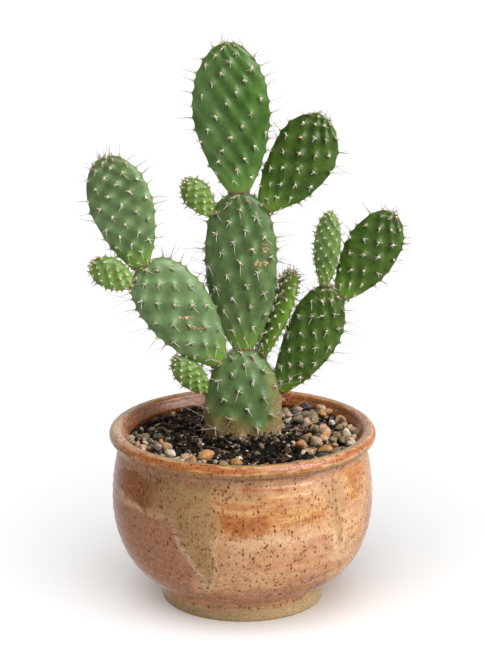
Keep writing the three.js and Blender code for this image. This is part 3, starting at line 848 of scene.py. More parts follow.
def make_pot(material):
    profile = pot_profile()
    rows = len(profile)
    radius = np.repeat(profile[:, :1], POT_SEGMENTS, 1)
    height = np.repeat(profile[:, 1:], POT_SEGMENTS, 1)
    turn = np.repeat(np.linspace(0, 360, POT_SEGMENTS, endpoint=False)[None], rows, 0)
    order = np.arange(rows)[:, None] * np.ones_like(height)
    crest = int(np.argmax(profile[:, 1]))
    wall = (order <= crest) & (height > THROWN["low"]) & (height < THROWN["high"])
    thrown = np.sin(2 * np.pi * (height / THROWN["pitch"] - turn / 360))
    wavering = height / THROWN["fine_pitch"] + 0.35 * np.sin(np.radians(turn * 2))
    thrown = thrown + 0.5 * np.sin(2 * np.pi * wavering)
    radius = radius + np.where(wall, THROWN["depth"] * thrown * smoothstep(height, 14, 22), 0)
    for groove, depth, width in GROOVES:
        radius = radius - np.where(wall, depth * bell(height, groove, width), 0)
    angle = np.radians(turn)
    points = np.stack([radius * np.sin(angle), -radius * np.cos(angle), height], -1)
    values = pot_values(points, radius, turn, height, (order <= crest) * 1.0)
    values["bare"] = np.where(order < FOOT_ROWS, 1.0, values["bare"])
    faces = grid_faces(rows, POT_SEGMENTS, ring=True)
    make_piece("pot_body", points.reshape(-1, 3), faces, material, ("pot",), values=values)


# ---- Soil and gravel ----

SOIL = {"level": 97.4, "mound": 5.5, "mound_radius": 30.0, "ripple": 0.7, "clods": 1.5}
SOIL_GAP = {"wall": 0.5, "edge": 0.15, "edge_height": 97.0}
SOIL_RINGS = 84
SOIL_SEGMENTS = 300
SOIL_UNDER = (12.4, 12.4, 20, 34, 50, 66, 80, 92)  # heights of the rings below the surface
STEM = (24.0, 13.0)  # half sizes of the base pad in the soil
BED_FADE = 9.0  # degrees, and mm at the inner edge, over which a bed thins out
GRAVEL = {"inner": 26.0, "outer": 69.5, "margin": 3.0, "highest": 6.5, "flat": 0.8, "reach": 0.39}
STONES = (
    # piece, count, sizes, tints, share sunk, replaced nodes, and its bed: from, to, inner radius
    ("gravel_bed_right", 240, (3.8, 8.6), (0, 1), 0.35, ("gravel_right",), (-46, 62, 33)),
    ("gravel_bed_left", 190, (3.0, 7.0), (0.1, 1), 0.35, ("gravel_left",), (172, 268, 49)),
    ("gravel_scattered", 95, (2.0, 5.4), (0.1, 1), 0.4, (), None),
)
PERLITE = {"count": 46, "inner": 16.0, "outer": 69.0, "sizes": (0.6, 1.5)}
SINGLE_STONES = (
    # x, y, size, flatness, tint
    (-22.0, -38.0, 9.5, 0.75, 0.02), (-3.5, -47.0, 6.4, 0.7, 0.05), (33.0, -53.0, 10.0, 0.5, 0.3),
    (33.0, -22.0, 7.8, 0.7, 0.04), (50.0, -38.0, 12.5, 0.45, 0.65), (61.0, -27.0, 8.5, 0.5, 0.65),
    (41.0, 34.0, 10.5, 0.9, 0.45), (49.0, 4.0, 9.0, 0.7, 0.08), (-18.0, -57.0, 6.8, 0.8, 0.95),
    (-12.0, -60.0, 6.4, 0.8, 0.93), (-9.5, -55.0, 5.2, 0.8, 0.97), (17.0, -62.0, 5.5, 0.6, 0.1),
    (9.5, -59.0, 6.5, 0.6, 0.66), (36.0, -29.0, 5.0, 0.8, 0.95), (-31.0, -43.0, 6.5, 0.7, 0.5),
    (-2.0, -40.0, 5.0, 0.8, 0.97), (-36.0, -50.0, 7.0, 0.6, 0.75), (-42.0, -45.0, 7.5, 0.6, 0.8),
)


@dataclass
class Crumbs:
    """Bits of soil, strewn from inner to outer: narrow makes chips of them, lift and piled
    raise them all alike and at random, and strewn is how much their size varies their height."""

    name: str
    count: int
    sizes: tuple
    fineness: int
    inner: float = 12.0
    outer: float = 70.0
    margin: float = -2.0
    flatness: tuple = (0.5, 0.9)
    narrow: float = 1.0
    lift: float = 0.5
    strewn: float = 1.0
    piled: float = 0.0
    tints: tuple = (0.0, 1.0)


CRUMBS = (
    Crumbs("soil_clods", 620, (2.2, 4.6), 2),
    Crumbs("soil_crumbs", 3400, (0.8, 2.0), 1),
    Crumbs("bark_chips", 110, (3.5, 8.0), 2, outer=68.0, flatness=(0.16, 0.3), narrow=0.45,
           lift=1.3, strewn=0.0, tints=(0.55, 0.93)),
    Crumbs("soil_collar", 420, (1.2, 3.2), 1, inner=10.0, outer=28.0, margin=-3.5, piled=3.0),
)


def soil_height(x, y):
    mound = SOIL["mound"] * np.exp(-(x * x + y * y) / SOIL["mound_radius"] ** 2)
    waves = np.sin(0.23 * x + 1.3) * np.sin(0.19 * y + 0.4) + 0.6 * np.sin(0.47 * x - 0.33 * y)
    return SOIL["level"] + mound + SOIL["ripple"] * waves


def make_soil(material):
    """The filling of the pot, from its floor to the clods on top."""
    under = np.array(SOIL_UNDER)
    edge = wall_radius("cavity", np.array(SOIL_GAP["edge_height"])) - SOIL_GAP["edge"]
    tops = edge * np.linspace(1, 0, SOIL_RINGS, endpoint=False)
    wall = wall_radius("cavity", under[2:]) - SOIL_GAP["wall"]
    radius = np.concatenate([[0.5, 26], wall, tops])
    turn = around(SOIL_SEGMENTS)
    x = radius[:, None] * np.cos(turn)
    y = radius[:, None] * np.sin(turn)
    z = np.zeros_like(x)
    z[:len(under)] = under[:, None]
    top = slice(len(under), None)
    ground = np.stack([x, y, z], -1)[top]
    clods = 0.7 * field(ground, 0.22, 3) + 0.6 * field(ground, 0.7, 4, 3)
    z[top] = soil_height(x[top], y[top]) + SOIL["clods"] * clods
    points = np.stack([x, y, z], -1).reshape(-1, 3)
    disc = range(SOIL_SEGMENTS)
    last = len(points) - SOIL_SEGMENTS
    faces = grid_faces(len(radius), SOIL_SEGMENTS)
    faces += [tuple(reversed(disc)), tuple(last + column for column in disc)]
    values = {"tint": np.zeros(len(points))}
    make_piece("soil_mass", points, faces, material, ("soil",), values=values)


def random_axes(rng, sizes, flatness, narrow=1.0):
    """Half axes of lumps: turned at random about the vertical, a little tipped and flattened."""
    axes = []
    for size in sizes:
        turn = Matrix.Rotation(rng.uniform(0, 2 * math.pi), 3, "Z")
        tip = Matrix.Rotation(rng.normal(0, 0.35), 3, "X")
        wide = narrow * rng.uniform(0.75, 1.0)
        shape = np.diag((rng.uniform(0.95, 1.3), wide, rng.uniform(*flatness)))
        axes.append(size / 2 * shape @ np.array(turn @ tip).T)
    return np.array(axes)


def scattered(rng, count, inner, outer, margin=0.0, inside=None):
    """Places on the soil, clear of the plant by a margin."""
    places = []
    while len(places) < count:
        radius = math.sqrt(rng.uniform(inner**2, outer**2))
        turn = rng.uniform(0, 2 * math.pi)
        x, y = radius * math.cos(turn), radius * math.sin(turn)
        from_stem = (abs(x) / (STEM[0] + margin)) ** 2.4 + (abs(y) / (STEM[1] + margin)) ** 2.4
        if from_stem > 1 and (inside is None or inside(radius, math.degrees(turn), rng)):
            places.append((x, y))
    return np.array(places)


def settled(places, sizes, sink):
    """Stones dropped one after the other on the soil and on those before them."""
    centres = np.zeros((len(places), 3))
    for k, ((x, y), size) in enumerate(zip(places, sizes)):
        z = soil_height(x, y) + size * (0.5 - sink) * GRAVEL["flat"]
        apart = np.hypot(*(centres[:k, :2] - (x, y)).T)
        reach = GRAVEL["reach"] * (sizes[:k] + size)
        under = apart < reach
        if under.any():
            rise = np.sqrt(reach[under] ** 2 - apart[under] ** 2)
            z = max(z, (centres[:k, 2][under] + GRAVEL["flat"] * rise).max())
        centres[k] = (x, y, z)
    return centres


def bed(start, end, inner):
    """Whether a place is in a bed between two directions, thinning out towards its edges."""
    def inside(radius, degrees, rng):
        past = (degrees - start) % 360
        if past < end - start and radius > inner + rng.uniform(0, BED_FADE):
            return min(past, end - start - past) > rng.uniform(0, BED_FADE)
        return False
    return inside


def make_gravel(material):
    """The two beds of gravel, and stones that lie about."""
    rng = np.random.default_rng(5)
    for name, count, sizes, tints, sunk, replaces, span in STONES:
        size = rng.uniform(*sizes, count) * rng.choice((1.0, 1.0, 0.78), count)
        inside = bed(*span) if span else None
        places = scattered(rng, count, GRAVEL["inner"], GRAVEL["outer"], GRAVEL["margin"], inside)
        centres = settled(places, size, sunk)
        keep = centres[:, 2] < SOIL["level"] + GRAVEL["highest"]
        centres, size = centres[keep], size[keep]
        axes = random_axes(rng, size, (0.6, 0.9))
        tint = rng.uniform(*tints, len(size))
        form = (3, 0.42, 0.5, 11 + count)
        make_lumps(name, material, centres, axes, tint, form, replaces)


def make_single_stones(material):
    """The larger stones that lie by themselves."""
    rng = np.random.default_rng(3)
    x, y, size, flatness, tint = np.array(SINGLE_STONES).T
    centres = np.column_stack([x, y, soil_height(x, y) + size * flatness * 0.28])
    pairs = zip(size, flatness)
    axes = np.concatenate([random_axes(rng, [one], (flat, flat + 0.05)) for one, flat in pairs])
    make_lumps("gravel_single", material, centres, axes, tint, (3, 0.35, 0.3, 51))


def make_crumbs(material):
    """Clods, crumbs and chips of bark."""
    rng = np.random.default_rng(8)
    for bits in CRUMBS:
        count = bits.count
        places = scattered(rng, count, bits.inner, bits.outer, bits.margin)
        size = rng.uniform(*bits.sizes, count) * rng.uniform(0.6, 1.0, count)
        height = soil_height(*places.T) + rng.uniform(-0.1, 0.5, count) * size * bits.strewn
        height = height + bits.lift + rng.uniform(0, bits.piled, count)
        centres = np.column_stack([places, height])
        axes = random_axes(rng, size, bits.flatness, bits.narrow)
        tint = rng.uniform(*bits.tints, count)
        form = (bits.fineness, 0.75, 0.0, 21 + bits.fineness)
        make_lumps(bits.name, material, centres, axes, tint, form, smooth=False)


def make_perlite(material):
    rng = np.random.default_rng(12)
    count = PERLITE["count"]
    places = scattered(rng, count, PERLITE["inner"], PERLITE["outer"])
    size = rng.uniform(*PERLITE["sizes"], count) * rng.choice((1.0, 1.0, 1.6), count)
    centres = np.column_stack([places, soil_height(*places.T) + 0.55 + 0.3 * size])
    axes = random_axes(rng, size, (0.7, 0.95))
    make_lumps("perlite_grains", material, centres, axes, None, (2, 0.6, 0.4, 31))


# ---- Pads ----

NECK = 0.2  # width of the joint, as a share of the pad's width
JOINT_DEPTH = 2.0
MESH_STEP = 0.85
HOLLOW_DEPTH = 1.7
TUBERCLE = 1.15
EDGE_BUMP = 1.9
EDGE_SPACING = 6.8
NET_WOBBLE = 0.15
# Even steps along a pad's girth, its length and its rings
EVEN = np.linspace(0, 1, 721)
FINE = np.linspace(0, 1, 401)
ROWS = np.linspace(0, 1, 201)


@dataclass
class Pad:
    """A stem segment. s runs from 0 at its joint to 1 at its tip, and angle goes round it from
    its right edge over its front face, in even steps along its girth. rings and cols count the
    rows and columns of the net of areoles, the slant makes its columns lean, rise lets its rows
    climb round the pad, ridge is how far its tubercles run together in one direction, and depth
    is how deep the hollows between them are.
    age is 1 on an old pad, bloom is its pale waxy coat and painted sheen, painted_sheen_left more painted
    sheen on its left side, painted_lit_edge how far its right edge is painted yellow and lit, and flesh is
    its colouring."""

    name: str
    length: float
    width: float
    thickness: float
    rings: int
    cols: int
    slant: float
    tilt: float = 0.0
    lean: float = 0.0
    turn: float = 0.0
    parent: str = ""
    at: float = 1.0
    side: int = -1
    foot: tuple = (0.0, 0.0, 0.0)
    widest: float = 0.58
    taper: float = 1.8
    crown: float = 2.0
    bow: float = 0.0
    sway: float = 0.0
    rise: int = 0
    ridge: float = 0.5
    depth: float = 1.0
    age: float = 0.0
    bloom: float = 0.1
    painted_sheen_left: float = 0.0
    painted_lit_edge: float = 0.0
    flesh: str = "young"

    def settle(self, pads):
        """Works out the pad's place from its parent's, its even steps and its areoles."""
        self.growth = min(1.0, 0.3 + self.width / 50)
        self.measure_girth()
        self.take_seat(pads)
        self.measure_walk()
        self.net_places = self.areoles_of_net()
        self.edge_places = self.areoles_of_edges()

    def measure_girth(self):
        turn = 2 * np.pi * EVEN
        pace = np.hypot(self.width * np.sin(turn), self.thickness * np.cos(turn)) / 2
        girth = np.concatenate([[0], np.cumsum((pace[1:] + pace[:-1]) / 2 * turn[1])])
        self.girth = girth[-1]
        self.turns = np.interp(EVEN, girth / self.girth, turn)

    def take_seat(self, pads):
        turn = Matrix.Rotation(math.radians(self.tilt), 3, "Y")
        turn = turn @ Matrix.Rotation(math.radians(-self.lean), 3, "X")
        turn = turn @ Matrix.Rotation(math.radians(self.turn), 3, "Z")
        self.rotation = np.array(turn)
        self.seat = np.array(self.foot, float)
        if self.parent:
            parent = pads[self.parent]
            edge = parent.skin(np.array(self.at), np.array(0.0 if self.side > 0 else math.pi))
            self.seat = parent.to_row(edge) - JOINT_DEPTH * self.rotation[:, 2]

    def measure_walk(self):
        """The length of the walk along the edge, and the shares s of even steps on it, which
        are a little closer towards the tip."""
        widening = np.diff(self.outline(FINE)) * self.width / 2
        walked = np.concatenate([[0], np.cumsum(np.hypot(np.diff(FINE) * self.length, widening))])
        self.walk = walked[-1]
        self.shares = np.interp((1 - (1 - ROWS) ** 1.12) * self.walk, walked, FINE)

    def outline(self, s):
        over = np.clip((s - self.widest) / (1 - self.widest), 0, 1)
        under = np.clip((self.widest - s) / self.widest, 0, 1)
        upper = np.maximum(0, 1 - over**self.crown) ** (1 / self.crown)
        lower = NECK + (1 - NECK) * np.maximum(0, 1 - under**self.taper) ** 0.9
        return np.where(s >= self.widest, upper, lower)

    def skin(self, s, angle):
        share = self.outline(s)
        evened = np.interp(np.mod(angle, 2 * np.pi) / (2 * np.pi), EVEN, self.turns)
        across = self.width / 2 * share * np.cos(evened) + self.sway * np.sin(np.pi * s)
        out = self.thickness / 2 * share**0.6 * np.sin(evened) + self.bow * s * s
        return np.stack([across, -out, s * self.length], -1)

    def normal(self, s, angle):
        s = np.clip(s, 0.006, 0.988)
        aside = self.skin(s, angle + 0.01) - self.skin(s, angle - 0.01)
        along = self.skin(s + 0.004, angle) - self.skin(s - 0.004, angle)
        return unit(np.cross(along, aside))

    def share_at(self, ring):
        return np.interp(np.asarray(ring) / self.rings, ROWS, self.shares)

    def front_place(self, across, along):
        """Ring and angle of a place on the front face."""
        s = along / self.length
        ring = np.interp(s, self.shares, self.rings * ROWS)
        evened = np.arccos((across - self.sway * np.sin(np.pi * s)) / (self.width / 2 * self.outline(s)))
        return ring, 2 * np.pi * np.interp(evened, self.turns, EVEN)

    def to_row(self, points):
        return points @ self.rotation.T + self.seat

    def wobble(self, points):
        return NET_WOBBLE * field(points, 0.07, 2, 1), NET_WOBBLE * field(points, 0.07, 6, 1)

    def hollowness(self, ring, angle, points):
        """0 on the crests and 1 in the hollow between four areoles, and nearness to an areole."""
        column = angle * self.cols / (2 * np.pi) - self.slant * ring
        row = ring - self.rise / self.cols * column
        aside, along = self.wobble(points)
        column, row = column + aside, row + along
        first = 0.5 - 0.5 * np.cos(np.pi * (row + column))
        second = 0.5 - 0.5 * np.cos(np.pi * (row - column))
        near = ((1 - first) * (1 - second)) ** 3
        for place in self.skin(self.share_at(self.edge_places[0]), self.edge_places[1]):
            off = np.sum((points - place) ** 2, -1)
            near = np.maximum(near, np.exp(-off / (EDGE_BUMP * self.growth) ** 2))
        worn = 0.75 + 0.5 * field(points, 0.06, 27)
        return worn * ((1 - self.ridge) * first + self.ridge * second), near

    def raised(self, ring, angle):
        """The skin with its tubercles, which are lower along the edges and fade out at the
        joint and the tip; its normals, how hollow it is and how far along the pad."""
        s = self.share_at(ring)
        base, normal = self.skin(s, angle), self.normal(s, angle)
        hollow, near = self.hollowness(ring, angle, base)
        grown = self.growth * smoothstep(ring, 0.3, 2.5) * smoothstep(self.outline(s), 0, 0.7)
        edge = smoothstep(np.abs(np.cos(angle)), 0.5, 0.92)
        tubercle = TUBERCLE * (1 - 0.25 * edge) * near
        relief = grown * (tubercle - HOLLOW_DEPTH * self.depth * (1 - 0.85 * edge) * hollow)
        relief = relief + 0.2 * field(base, 0.09, 9)
        return base + normal * relief[..., None], normal, hollow, s

    def areoles_of_edges(self):
        """Ring and angle of the extra areoles along the two thin edges, clear of the net's."""
        taken = self.skin(self.share_at(self.net_places[0]), self.net_places[1])
        count = round(self.length / (EDGE_SPACING * (0.35 + 0.65 * self.growth)))
        places = []
        for angle in (0.0, math.pi):
            for ring in np.linspace(0.12, 0.93, count) * self.rings:
                spot = self.skin(self.share_at(ring), np.array(angle))
                if np.linalg.norm(taken - spot, axis=1).min() > 0.55 * EDGE_SPACING * self.growth:
                    places.append((ring, angle))
        return np.array(places).reshape(-1, 2).T

    def areoles_of_net(self):
        """Ring and angle of the areoles at every second crossing of the net."""
        places = []
        for row in range(-abs(self.rise), self.rings + abs(self.rise)):
            for column in range(self.cols):
                ring = row + self.rise / self.cols * column
                if (row + column) % 2 or not 0.7 <= ring <= self.rings - 0.4:
                    continue
                angle = 2 * math.pi * (column + self.slant * ring) / self.cols
                aside, along = self.wobble(self.skin(self.share_at(ring), np.array(angle))[None])
                ring, column = ring - along[0], column - aside[0]
                places.append((ring, 2 * math.pi * (column + self.slant * ring) / self.cols))
        return np.array(places).T


PADS = (
    Pad("pad_base", foot=(0.4, 0, 66), turn=4, length=89.4, width=46.4,
        thickness=25, widest=0.57, taper=2.6, rings=12, cols=14, slant=-0.27, rise=4, age=1.0,
        depth=0.45, bloom=0.26, flesh="old"),
    Pad("pad_main", parent="pad_base", tilt=-1.3, lean=1, turn=-6, length=97,
        width=42.4, thickness=16, taper=2.2, crown=2.3, bow=2, rings=11, cols=16, slant=-0.37,
        rise=4, age=0.9, depth=0.62, bloom=0.16, flesh="old"),
    Pad("pad_top", parent="pad_main", tilt=-4.5, lean=-3, turn=-6, length=90.8,
        width=44.8, thickness=12, widest=0.56, bow=-3, sway=-1, rings=11, cols=14, slant=0.13,
        rise=4, ridge=0.58, age=0.2, bloom=0.13, painted_sheen_left=0.2),
    Pad("pad_upper_right", parent="pad_main", at=0.906, side=1, tilt=33.6, lean=6, turn=-10,
        length=65.5, width=37.6, thickness=11, widest=0.62, bow=2, sway=2.4, rings=13, cols=12,
        slant=-0.25, rise=4, ridge=0.62, age=0.1, depth=0.85, bloom=0.0, flesh="deep"),
    Pad("bud_main", parent="pad_main", at=0.87, tilt=-37, lean=-8, turn=10, length=27.8,
        width=16.6, thickness=10, widest=0.6, taper=1.9, rings=11, cols=12, slant=0.2,
        flesh="bud"),
    Pad("pad_left", parent="pad_base", at=0.911, tilt=-35.5, lean=-9, turn=8, length=79,
        width=40, thickness=14, widest=0.59, crown=2.3, bow=-2, rings=12, cols=12, slant=0.0,
        rise=-2, age=0.75, depth=0.65, bloom=0.6, flesh="old"),
    Pad("pad_left_top", parent="pad_left", at=0.9992, tilt=-16.4, lean=4, turn=-12,
        length=70.5, width=38.4, thickness=11, widest=0.6, bow=3, rings=14, cols=12, slant=-0.05,
        age=0.4, depth=0.82, bloom=0.53, flesh="old"),
    Pad("bud_left", parent="pad_left", at=0.935, tilt=-60.7, lean=-8, turn=6,
        length=29, width=18.4, thickness=11, taper=1.9, rings=12, cols=12, slant=0.2,
        flesh="bud"),
    Pad("bud_base", parent="pad_base", at=0.71, tilt=-41.6, lean=-10, turn=12, length=31,
        width=16.5, thickness=10.5, taper=1.9, rings=12, cols=12, slant=0.2, flesh="bud"),
    Pad("pad_edge_on", parent="pad_base", at=0.95, side=1, tilt=19.4, lean=15, turn=-66,
        length=55, width=27, thickness=10.5, widest=0.6, bow=-2, rings=17, cols=16, slant=0.1,
        rise=2, age=0.3, depth=0.6, bloom=0.0, painted_lit_edge=1.0, flesh="deep"),
    Pad("pad_right", parent="pad_base", at=0.71, side=1, tilt=26.5, lean=2, turn=-9, length=72.5,
        width=32, thickness=13, widest=0.62, bow=2, sway=2.4, rings=14, cols=12, slant=-0.14,
        rise=4, ridge=0.66, age=0.6, depth=0.5, bloom=0.0, flesh="deep"),
    Pad("pad_right_narrow", parent="pad_right", at=0.98, tilt=3.5, lean=-4, turn=-18,
        length=46.8, width=16, thickness=11, taper=1.9, bow=-1, rings=16, cols=12,
        slant=-0.2, rise=2, bloom=0.3, flesh="bud"),
    Pad("pad_right_top", parent="pad_right", at=0.964, side=1, tilt=31.6, lean=5, turn=-8,
        length=60.4, width=31.4, thickness=10.5, bow=2, sway=0.8, rings=13, cols=10, slant=-0.22,
        rise=4, ridge=0.66, age=0.1, depth=0.7, bloom=0.0, flesh="deep"),
)

SCARS = (
    # pad, height along it, place across it, half width, half height, slope in degrees
    ("pad_main", 64.5, 15.0, 1.3, 3.2, 0), ("pad_main", 55.5, 13.4, 2.8, 1.8, 0),
    ("pad_main", 55.0, 9.6, 1.2, 1.6, 0), ("pad_left", 30.5, 1.5, 4.6, 0.9, -50),
    ("pad_left", 39.0, 1.0, 4.2, 0.7, -40),
)
SCABS = {"each": 15, "radius": (0.22, 0.62)}


def cork_on(pad, points, row_points, angle):
    """Where the skin has turned to cork: at its scars, and low and along the sides of the base."""
    cork = np.zeros(points.shape[:-1])
    for name, along, across, wide, tall, slope in SCARS:
        if name == pad.name:
            first, second = turned(points[..., 0] - across, points[..., 2] - along, -slope)
            stain = 0.7 * np.exp(-((first / wide) ** 2) - (second / tall) ** 2)
            cork = np.maximum(cork, np.where(points[..., 1] < 0, stain, 0))
    if pad.name == "pad_base":
        height = row_points[..., 2] + 8.0 * field(points, 0.09, 19, 4)
        low = 0.9 * smoothstep(height, 117, 104)
        right = 0.85 * smoothstep(np.cos(angle), 0.68, 1.0) * smoothstep(height, 148, 118)
        left = 0.6 * smoothstep(-np.cos(angle), 0.8, 0.98) * smoothstep(height, 128, 112)
        cork = np.maximum(np.maximum(cork, low), np.maximum(right, left))
    return cork


def make_flesh(pad, material):
    rows, columns = round(pad.walk / MESH_STEP), round(pad.girth / MESH_STEP)
    ring = np.repeat(np.arange(rows)[:, None] * pad.rings / rows, columns, 1)
    angle = np.repeat(np.arange(columns)[None] * 2 * np.pi / columns, rows, 0)
    points, _, hollow, s = pad.raised(ring, angle)
    row_points = pad.to_row(points)
    fresh_and_lit = smoothstep(s * pad.length, 21, 2) * (0.4 + 0.6 * (pad.age < 0.95))
    # A painted lit edge: painted_lit_edge makes the right edge yellower and lighter, as if the light fell
    # on it.
    fresh_and_lit = np.maximum(fresh_and_lit, pad.painted_lit_edge * smoothstep(np.cos(angle), 0.2, 0.7))
    column = 2 * np.pi / pad.cols
    # Painted shadow goes in under, a patch just below and left of each areole; a painted highlight goes in
    # beside, a patch up and right of it.
    under = pad.hollowness(ring + 0.2, angle - 0.1 * column, points)[1]
    beside = pad.hollowness(ring - 0.1, angle + 0.4 * column, points)[1] ** 0.5
    # shaded: painted shade in the hollows and under each areole.
    shaded = np.maximum(hollow * pad.depth, 0.85 * smoothstep(under, 0.15, 0.7))
    # wax: the pad's pale waxy coat, plus painted sheen on the left of some pads and a painted highlight
    # beside each areole.
    wax_and_sheen = pad.bloom - pad.painted_sheen_left * 2 * points[..., 0] / pad.width
    wax_and_sheen = wax_and_sheen + (0.07 + 0.9 * min(pad.bloom, 0.25)) * beside
    values = {
        "hollow": np.append(shaded * smoothstep(ring, 0.3, 2.5), [0, 0]),
        "young": np.append(fresh_and_lit, [1, 0]),
        "cork": np.append(cork_on(pad, points, row_points, angle), [0, 0]),
        "bloom": np.append(wax_and_sheen, [pad.bloom, pad.bloom]),
    }
    ends = pad.to_row(np.array([(0, 0, -1.5), (0, -pad.bow, pad.length)]))
    faces = grid_faces(rows, columns)
    low = rows * columns
    for k in range(columns):
        beside = (k + 1) % columns
        faces.append((low, beside, k))
        faces.append((low - columns + k, low - columns + beside, low + 1))
    everything = np.concatenate([row_points.reshape(-1, 3), ends])
    make_piece(f"{pad.name}_flesh", everything, faces, material, (pad.name,), values=values)


WOOL = {"tufts": 3, "apart": 0.28, "lift": 0.2, "size": 0.34, "grown": 0.23}
GLOCHIDS = {
    "each": 8, "tip": 12, "old_tip": 14, "edge": 4, "apart": 0.6, "length": (0.9, 2.0),
    "radius": (0.05, 0.09),
}
SPINES = {
    # How many on an areole, and what age adds; lengths in mm, and what age adds; radii
    "each": 3.0, "each_old": 2.2, "least": 2, "most": 7,
    "short": (1.3, 2.9), "short_old": 1.6, "long": 1.2, "long_old": 4.8,
    "edge": (4.5, 15.0), "edge_old": 8.0, "radius": (0.11, 0.155), "curl": 0.04,
}


@dataclass
class Areoles:
    """Root, outward, upward and sideways direction of each areole, how far out it is at the
    pad's edge or tip, and how far along the pad."""

    root: np.ndarray
    normal: np.ndarray
    up: np.ndarray
    aside: np.ndarray
    outer: np.ndarray
    s: np.ndarray

    def picked(self, index):
        return Areoles(*(values[index] for values in vars(self).values()))


def areoles_of(pad):
    ring, angle = np.concatenate([pad.net_places, pad.edge_places], axis=1)
    root, normal, _, s = pad.raised(ring, angle)
    along = unit(pad.skin(np.minimum(s + 0.01, 1), angle) - pad.skin(np.maximum(s - 0.01, 0), angle))
    along = unit(along - normal * np.sum(along * normal, -1, keepdims=True))
    outer = np.maximum(smoothstep(np.abs(normal[:, 0]), 0.3, 0.75), smoothstep(s, 0.8, 0.97))
    turn = pad.rotation.T
    return Areoles(pad.to_row(root), normal @ turn, along @ turn, np.cross(along, normal) @ turn, outer, s)


def make_wool(pad, areoles, material, rng):
    """The felted cushion of each areole: a few small tufts close together."""
    at = areoles.picked(np.repeat(np.arange(len(areoles.s)), WOOL["tufts"]))
    count = len(at.s)
    shift = rng.normal(0, WOOL["apart"], (count, 2)) * pad.growth
    centres = at.root + at.aside * shift[:, :1] + at.up * shift[:, 1:] + WOOL["lift"] * at.normal
    size = (WOOL["size"] + WOOL["grown"] * pad.growth) * rng.uniform(0.7, 1.25, count)
    size = (size * (1 - 0.3 * smoothstep(at.s, 0.25, 0.05)))[:, None]
    tall = size * rng.uniform(0.8, 1.3, (count, 1))
    axes = np.stack([at.aside * size, at.up * size, at.normal * tall], 1)
    tint = rng.uniform(0, 1, count)
    make_lumps(f"{pad.name}_areoles", material, centres, axes, tint, (1, 0.4, 0.0, 41))


def make_glochids(pad, areoles, material, rng):
    """Short bristles all over each areole, more of them at the pad's tip and its old edges."""
    crown = (GLOCHIDS["tip"] + GLOCHIDS["old_tip"] * pad.age) * smoothstep(areoles.s, 0.78, 0.97)
    edge = GLOCHIDS["edge"] * areoles.outer * (1 + pad.age)
    copies = np.round(GLOCHIDS["each"] + crown + edge).astype(int)
    at = areoles.picked(np.repeat(np.arange(len(copies)), copies))
    count = len(at.s)
    turn = rng.uniform(0, 2 * np.pi, count)[:, None]
    spread = rng.uniform(0.15, 1.2, count)[:, None]
    flat = at.up * np.sin(turn) + at.aside * np.cos(turn)
    start = at.root + flat * (GLOCHIDS["apart"] * spread * pad.growth)
    length = rng.uniform(*GLOCHIDS["length"], count) * (0.6 + 0.4 * pad.growth)
    radii = rng.uniform(*GLOCHIDS["radius"], count)
    points, faces, along = needles(start, at.normal + flat * spread, length, radii, 0 * start, 3, (0.0,))
    values = {"tint": np.repeat(rng.uniform(0, 1, count), len(along) // count)}
    make_piece(f"{pad.name}_glochids", points, faces, material, smooth=False, values=values)


def within_reach(roots, directions, lengths):
    """Lengths cut so that no needle passes the CAD model's box by more than a little."""
    low, high = (np.array(corner) / MM for corner in cad_box)
    margin = 0.012 * (high - low)
    room = np.where(directions > 0, high + margin - roots, roots - low + margin)
    return np.minimum(lengths, (room / np.maximum(np.abs(directions), 1e-6)).min(1))


def face_spines(pad, areoles, rng):
    """A long spine and a few short ones that point down and out from each areole."""
    s = areoles.s
    copies = np.round(SPINES["each"] + SPINES["each_old"] * pad.age + rng.normal(0, 1.0, len(s)))
    copies = np.where(s < 0.1, 1, np.clip(copies, SPINES["least"], SPINES["most"])).astype(int)
    pick = np.repeat(np.arange(len(s)), copies)
    at = areoles.picked(pick)
    first = np.concatenate([[True], pick[1:] != pick[:-1]])
    count = len(pick)
    fan = rng.normal(0.35, 0.5, count) * first + rng.uniform(-2.6, 2.6, count) * ~first
    down = -np.cos(fan)[:, None] * at.up + np.sin(fan)[:, None] * at.aside
    direction = unit(at.normal * rng.uniform(0.15, 0.7, count)[:, None] + down)
    short = rng.uniform(*SPINES["short"], count) + pad.age * rng.uniform(0, SPINES["short_old"], count)
    longest = SPINES["long"] + SPINES["long_old"] * pad.age
    length = short + first * rng.uniform(0, longest, count)
    keep = rng.uniform(0, 1, count) > 0.5 * at.outer
    return pick[keep], direction[keep], length[keep] * smoothstep(pad.width, 2, 30)


def edge_spines(pad, areoles, rng):
    """Bundles of thin spines outwards along the edges and at the tip."""
    pick = np.flatnonzero(areoles.outer > 0.25)
    pick = np.repeat(pick, rng.integers(1, 4, len(pick)))
    at = areoles.picked(pick)
    stray = rng.normal(0, 0.3, (len(pick), 3)) * (1.0, 0.6, 1.0)
    side = np.sign(at.normal[:, :1]) * pad.rotation[:, 0]
    direction = unit(0.5 * at.normal + 0.8 * side * (at.s[:, None] < 0.93) + 0.3 * at.up + stray)
    length = rng.uniform(*SPINES["edge"], len(pick))
    length = length + pad.age * rng.uniform(0, SPINES["edge_old"], len(pick))
    length = length * (0.5 + 0.5 * at.outer) * (0.45 + 0.55 * smoothstep(at.s, 0.15, 0.6))
    length = length * (1 - 0.45 * smoothstep(at.s, 0.88, 0.97))
    return pick, direction, length * smoothstep(pad.width, 7, 36)


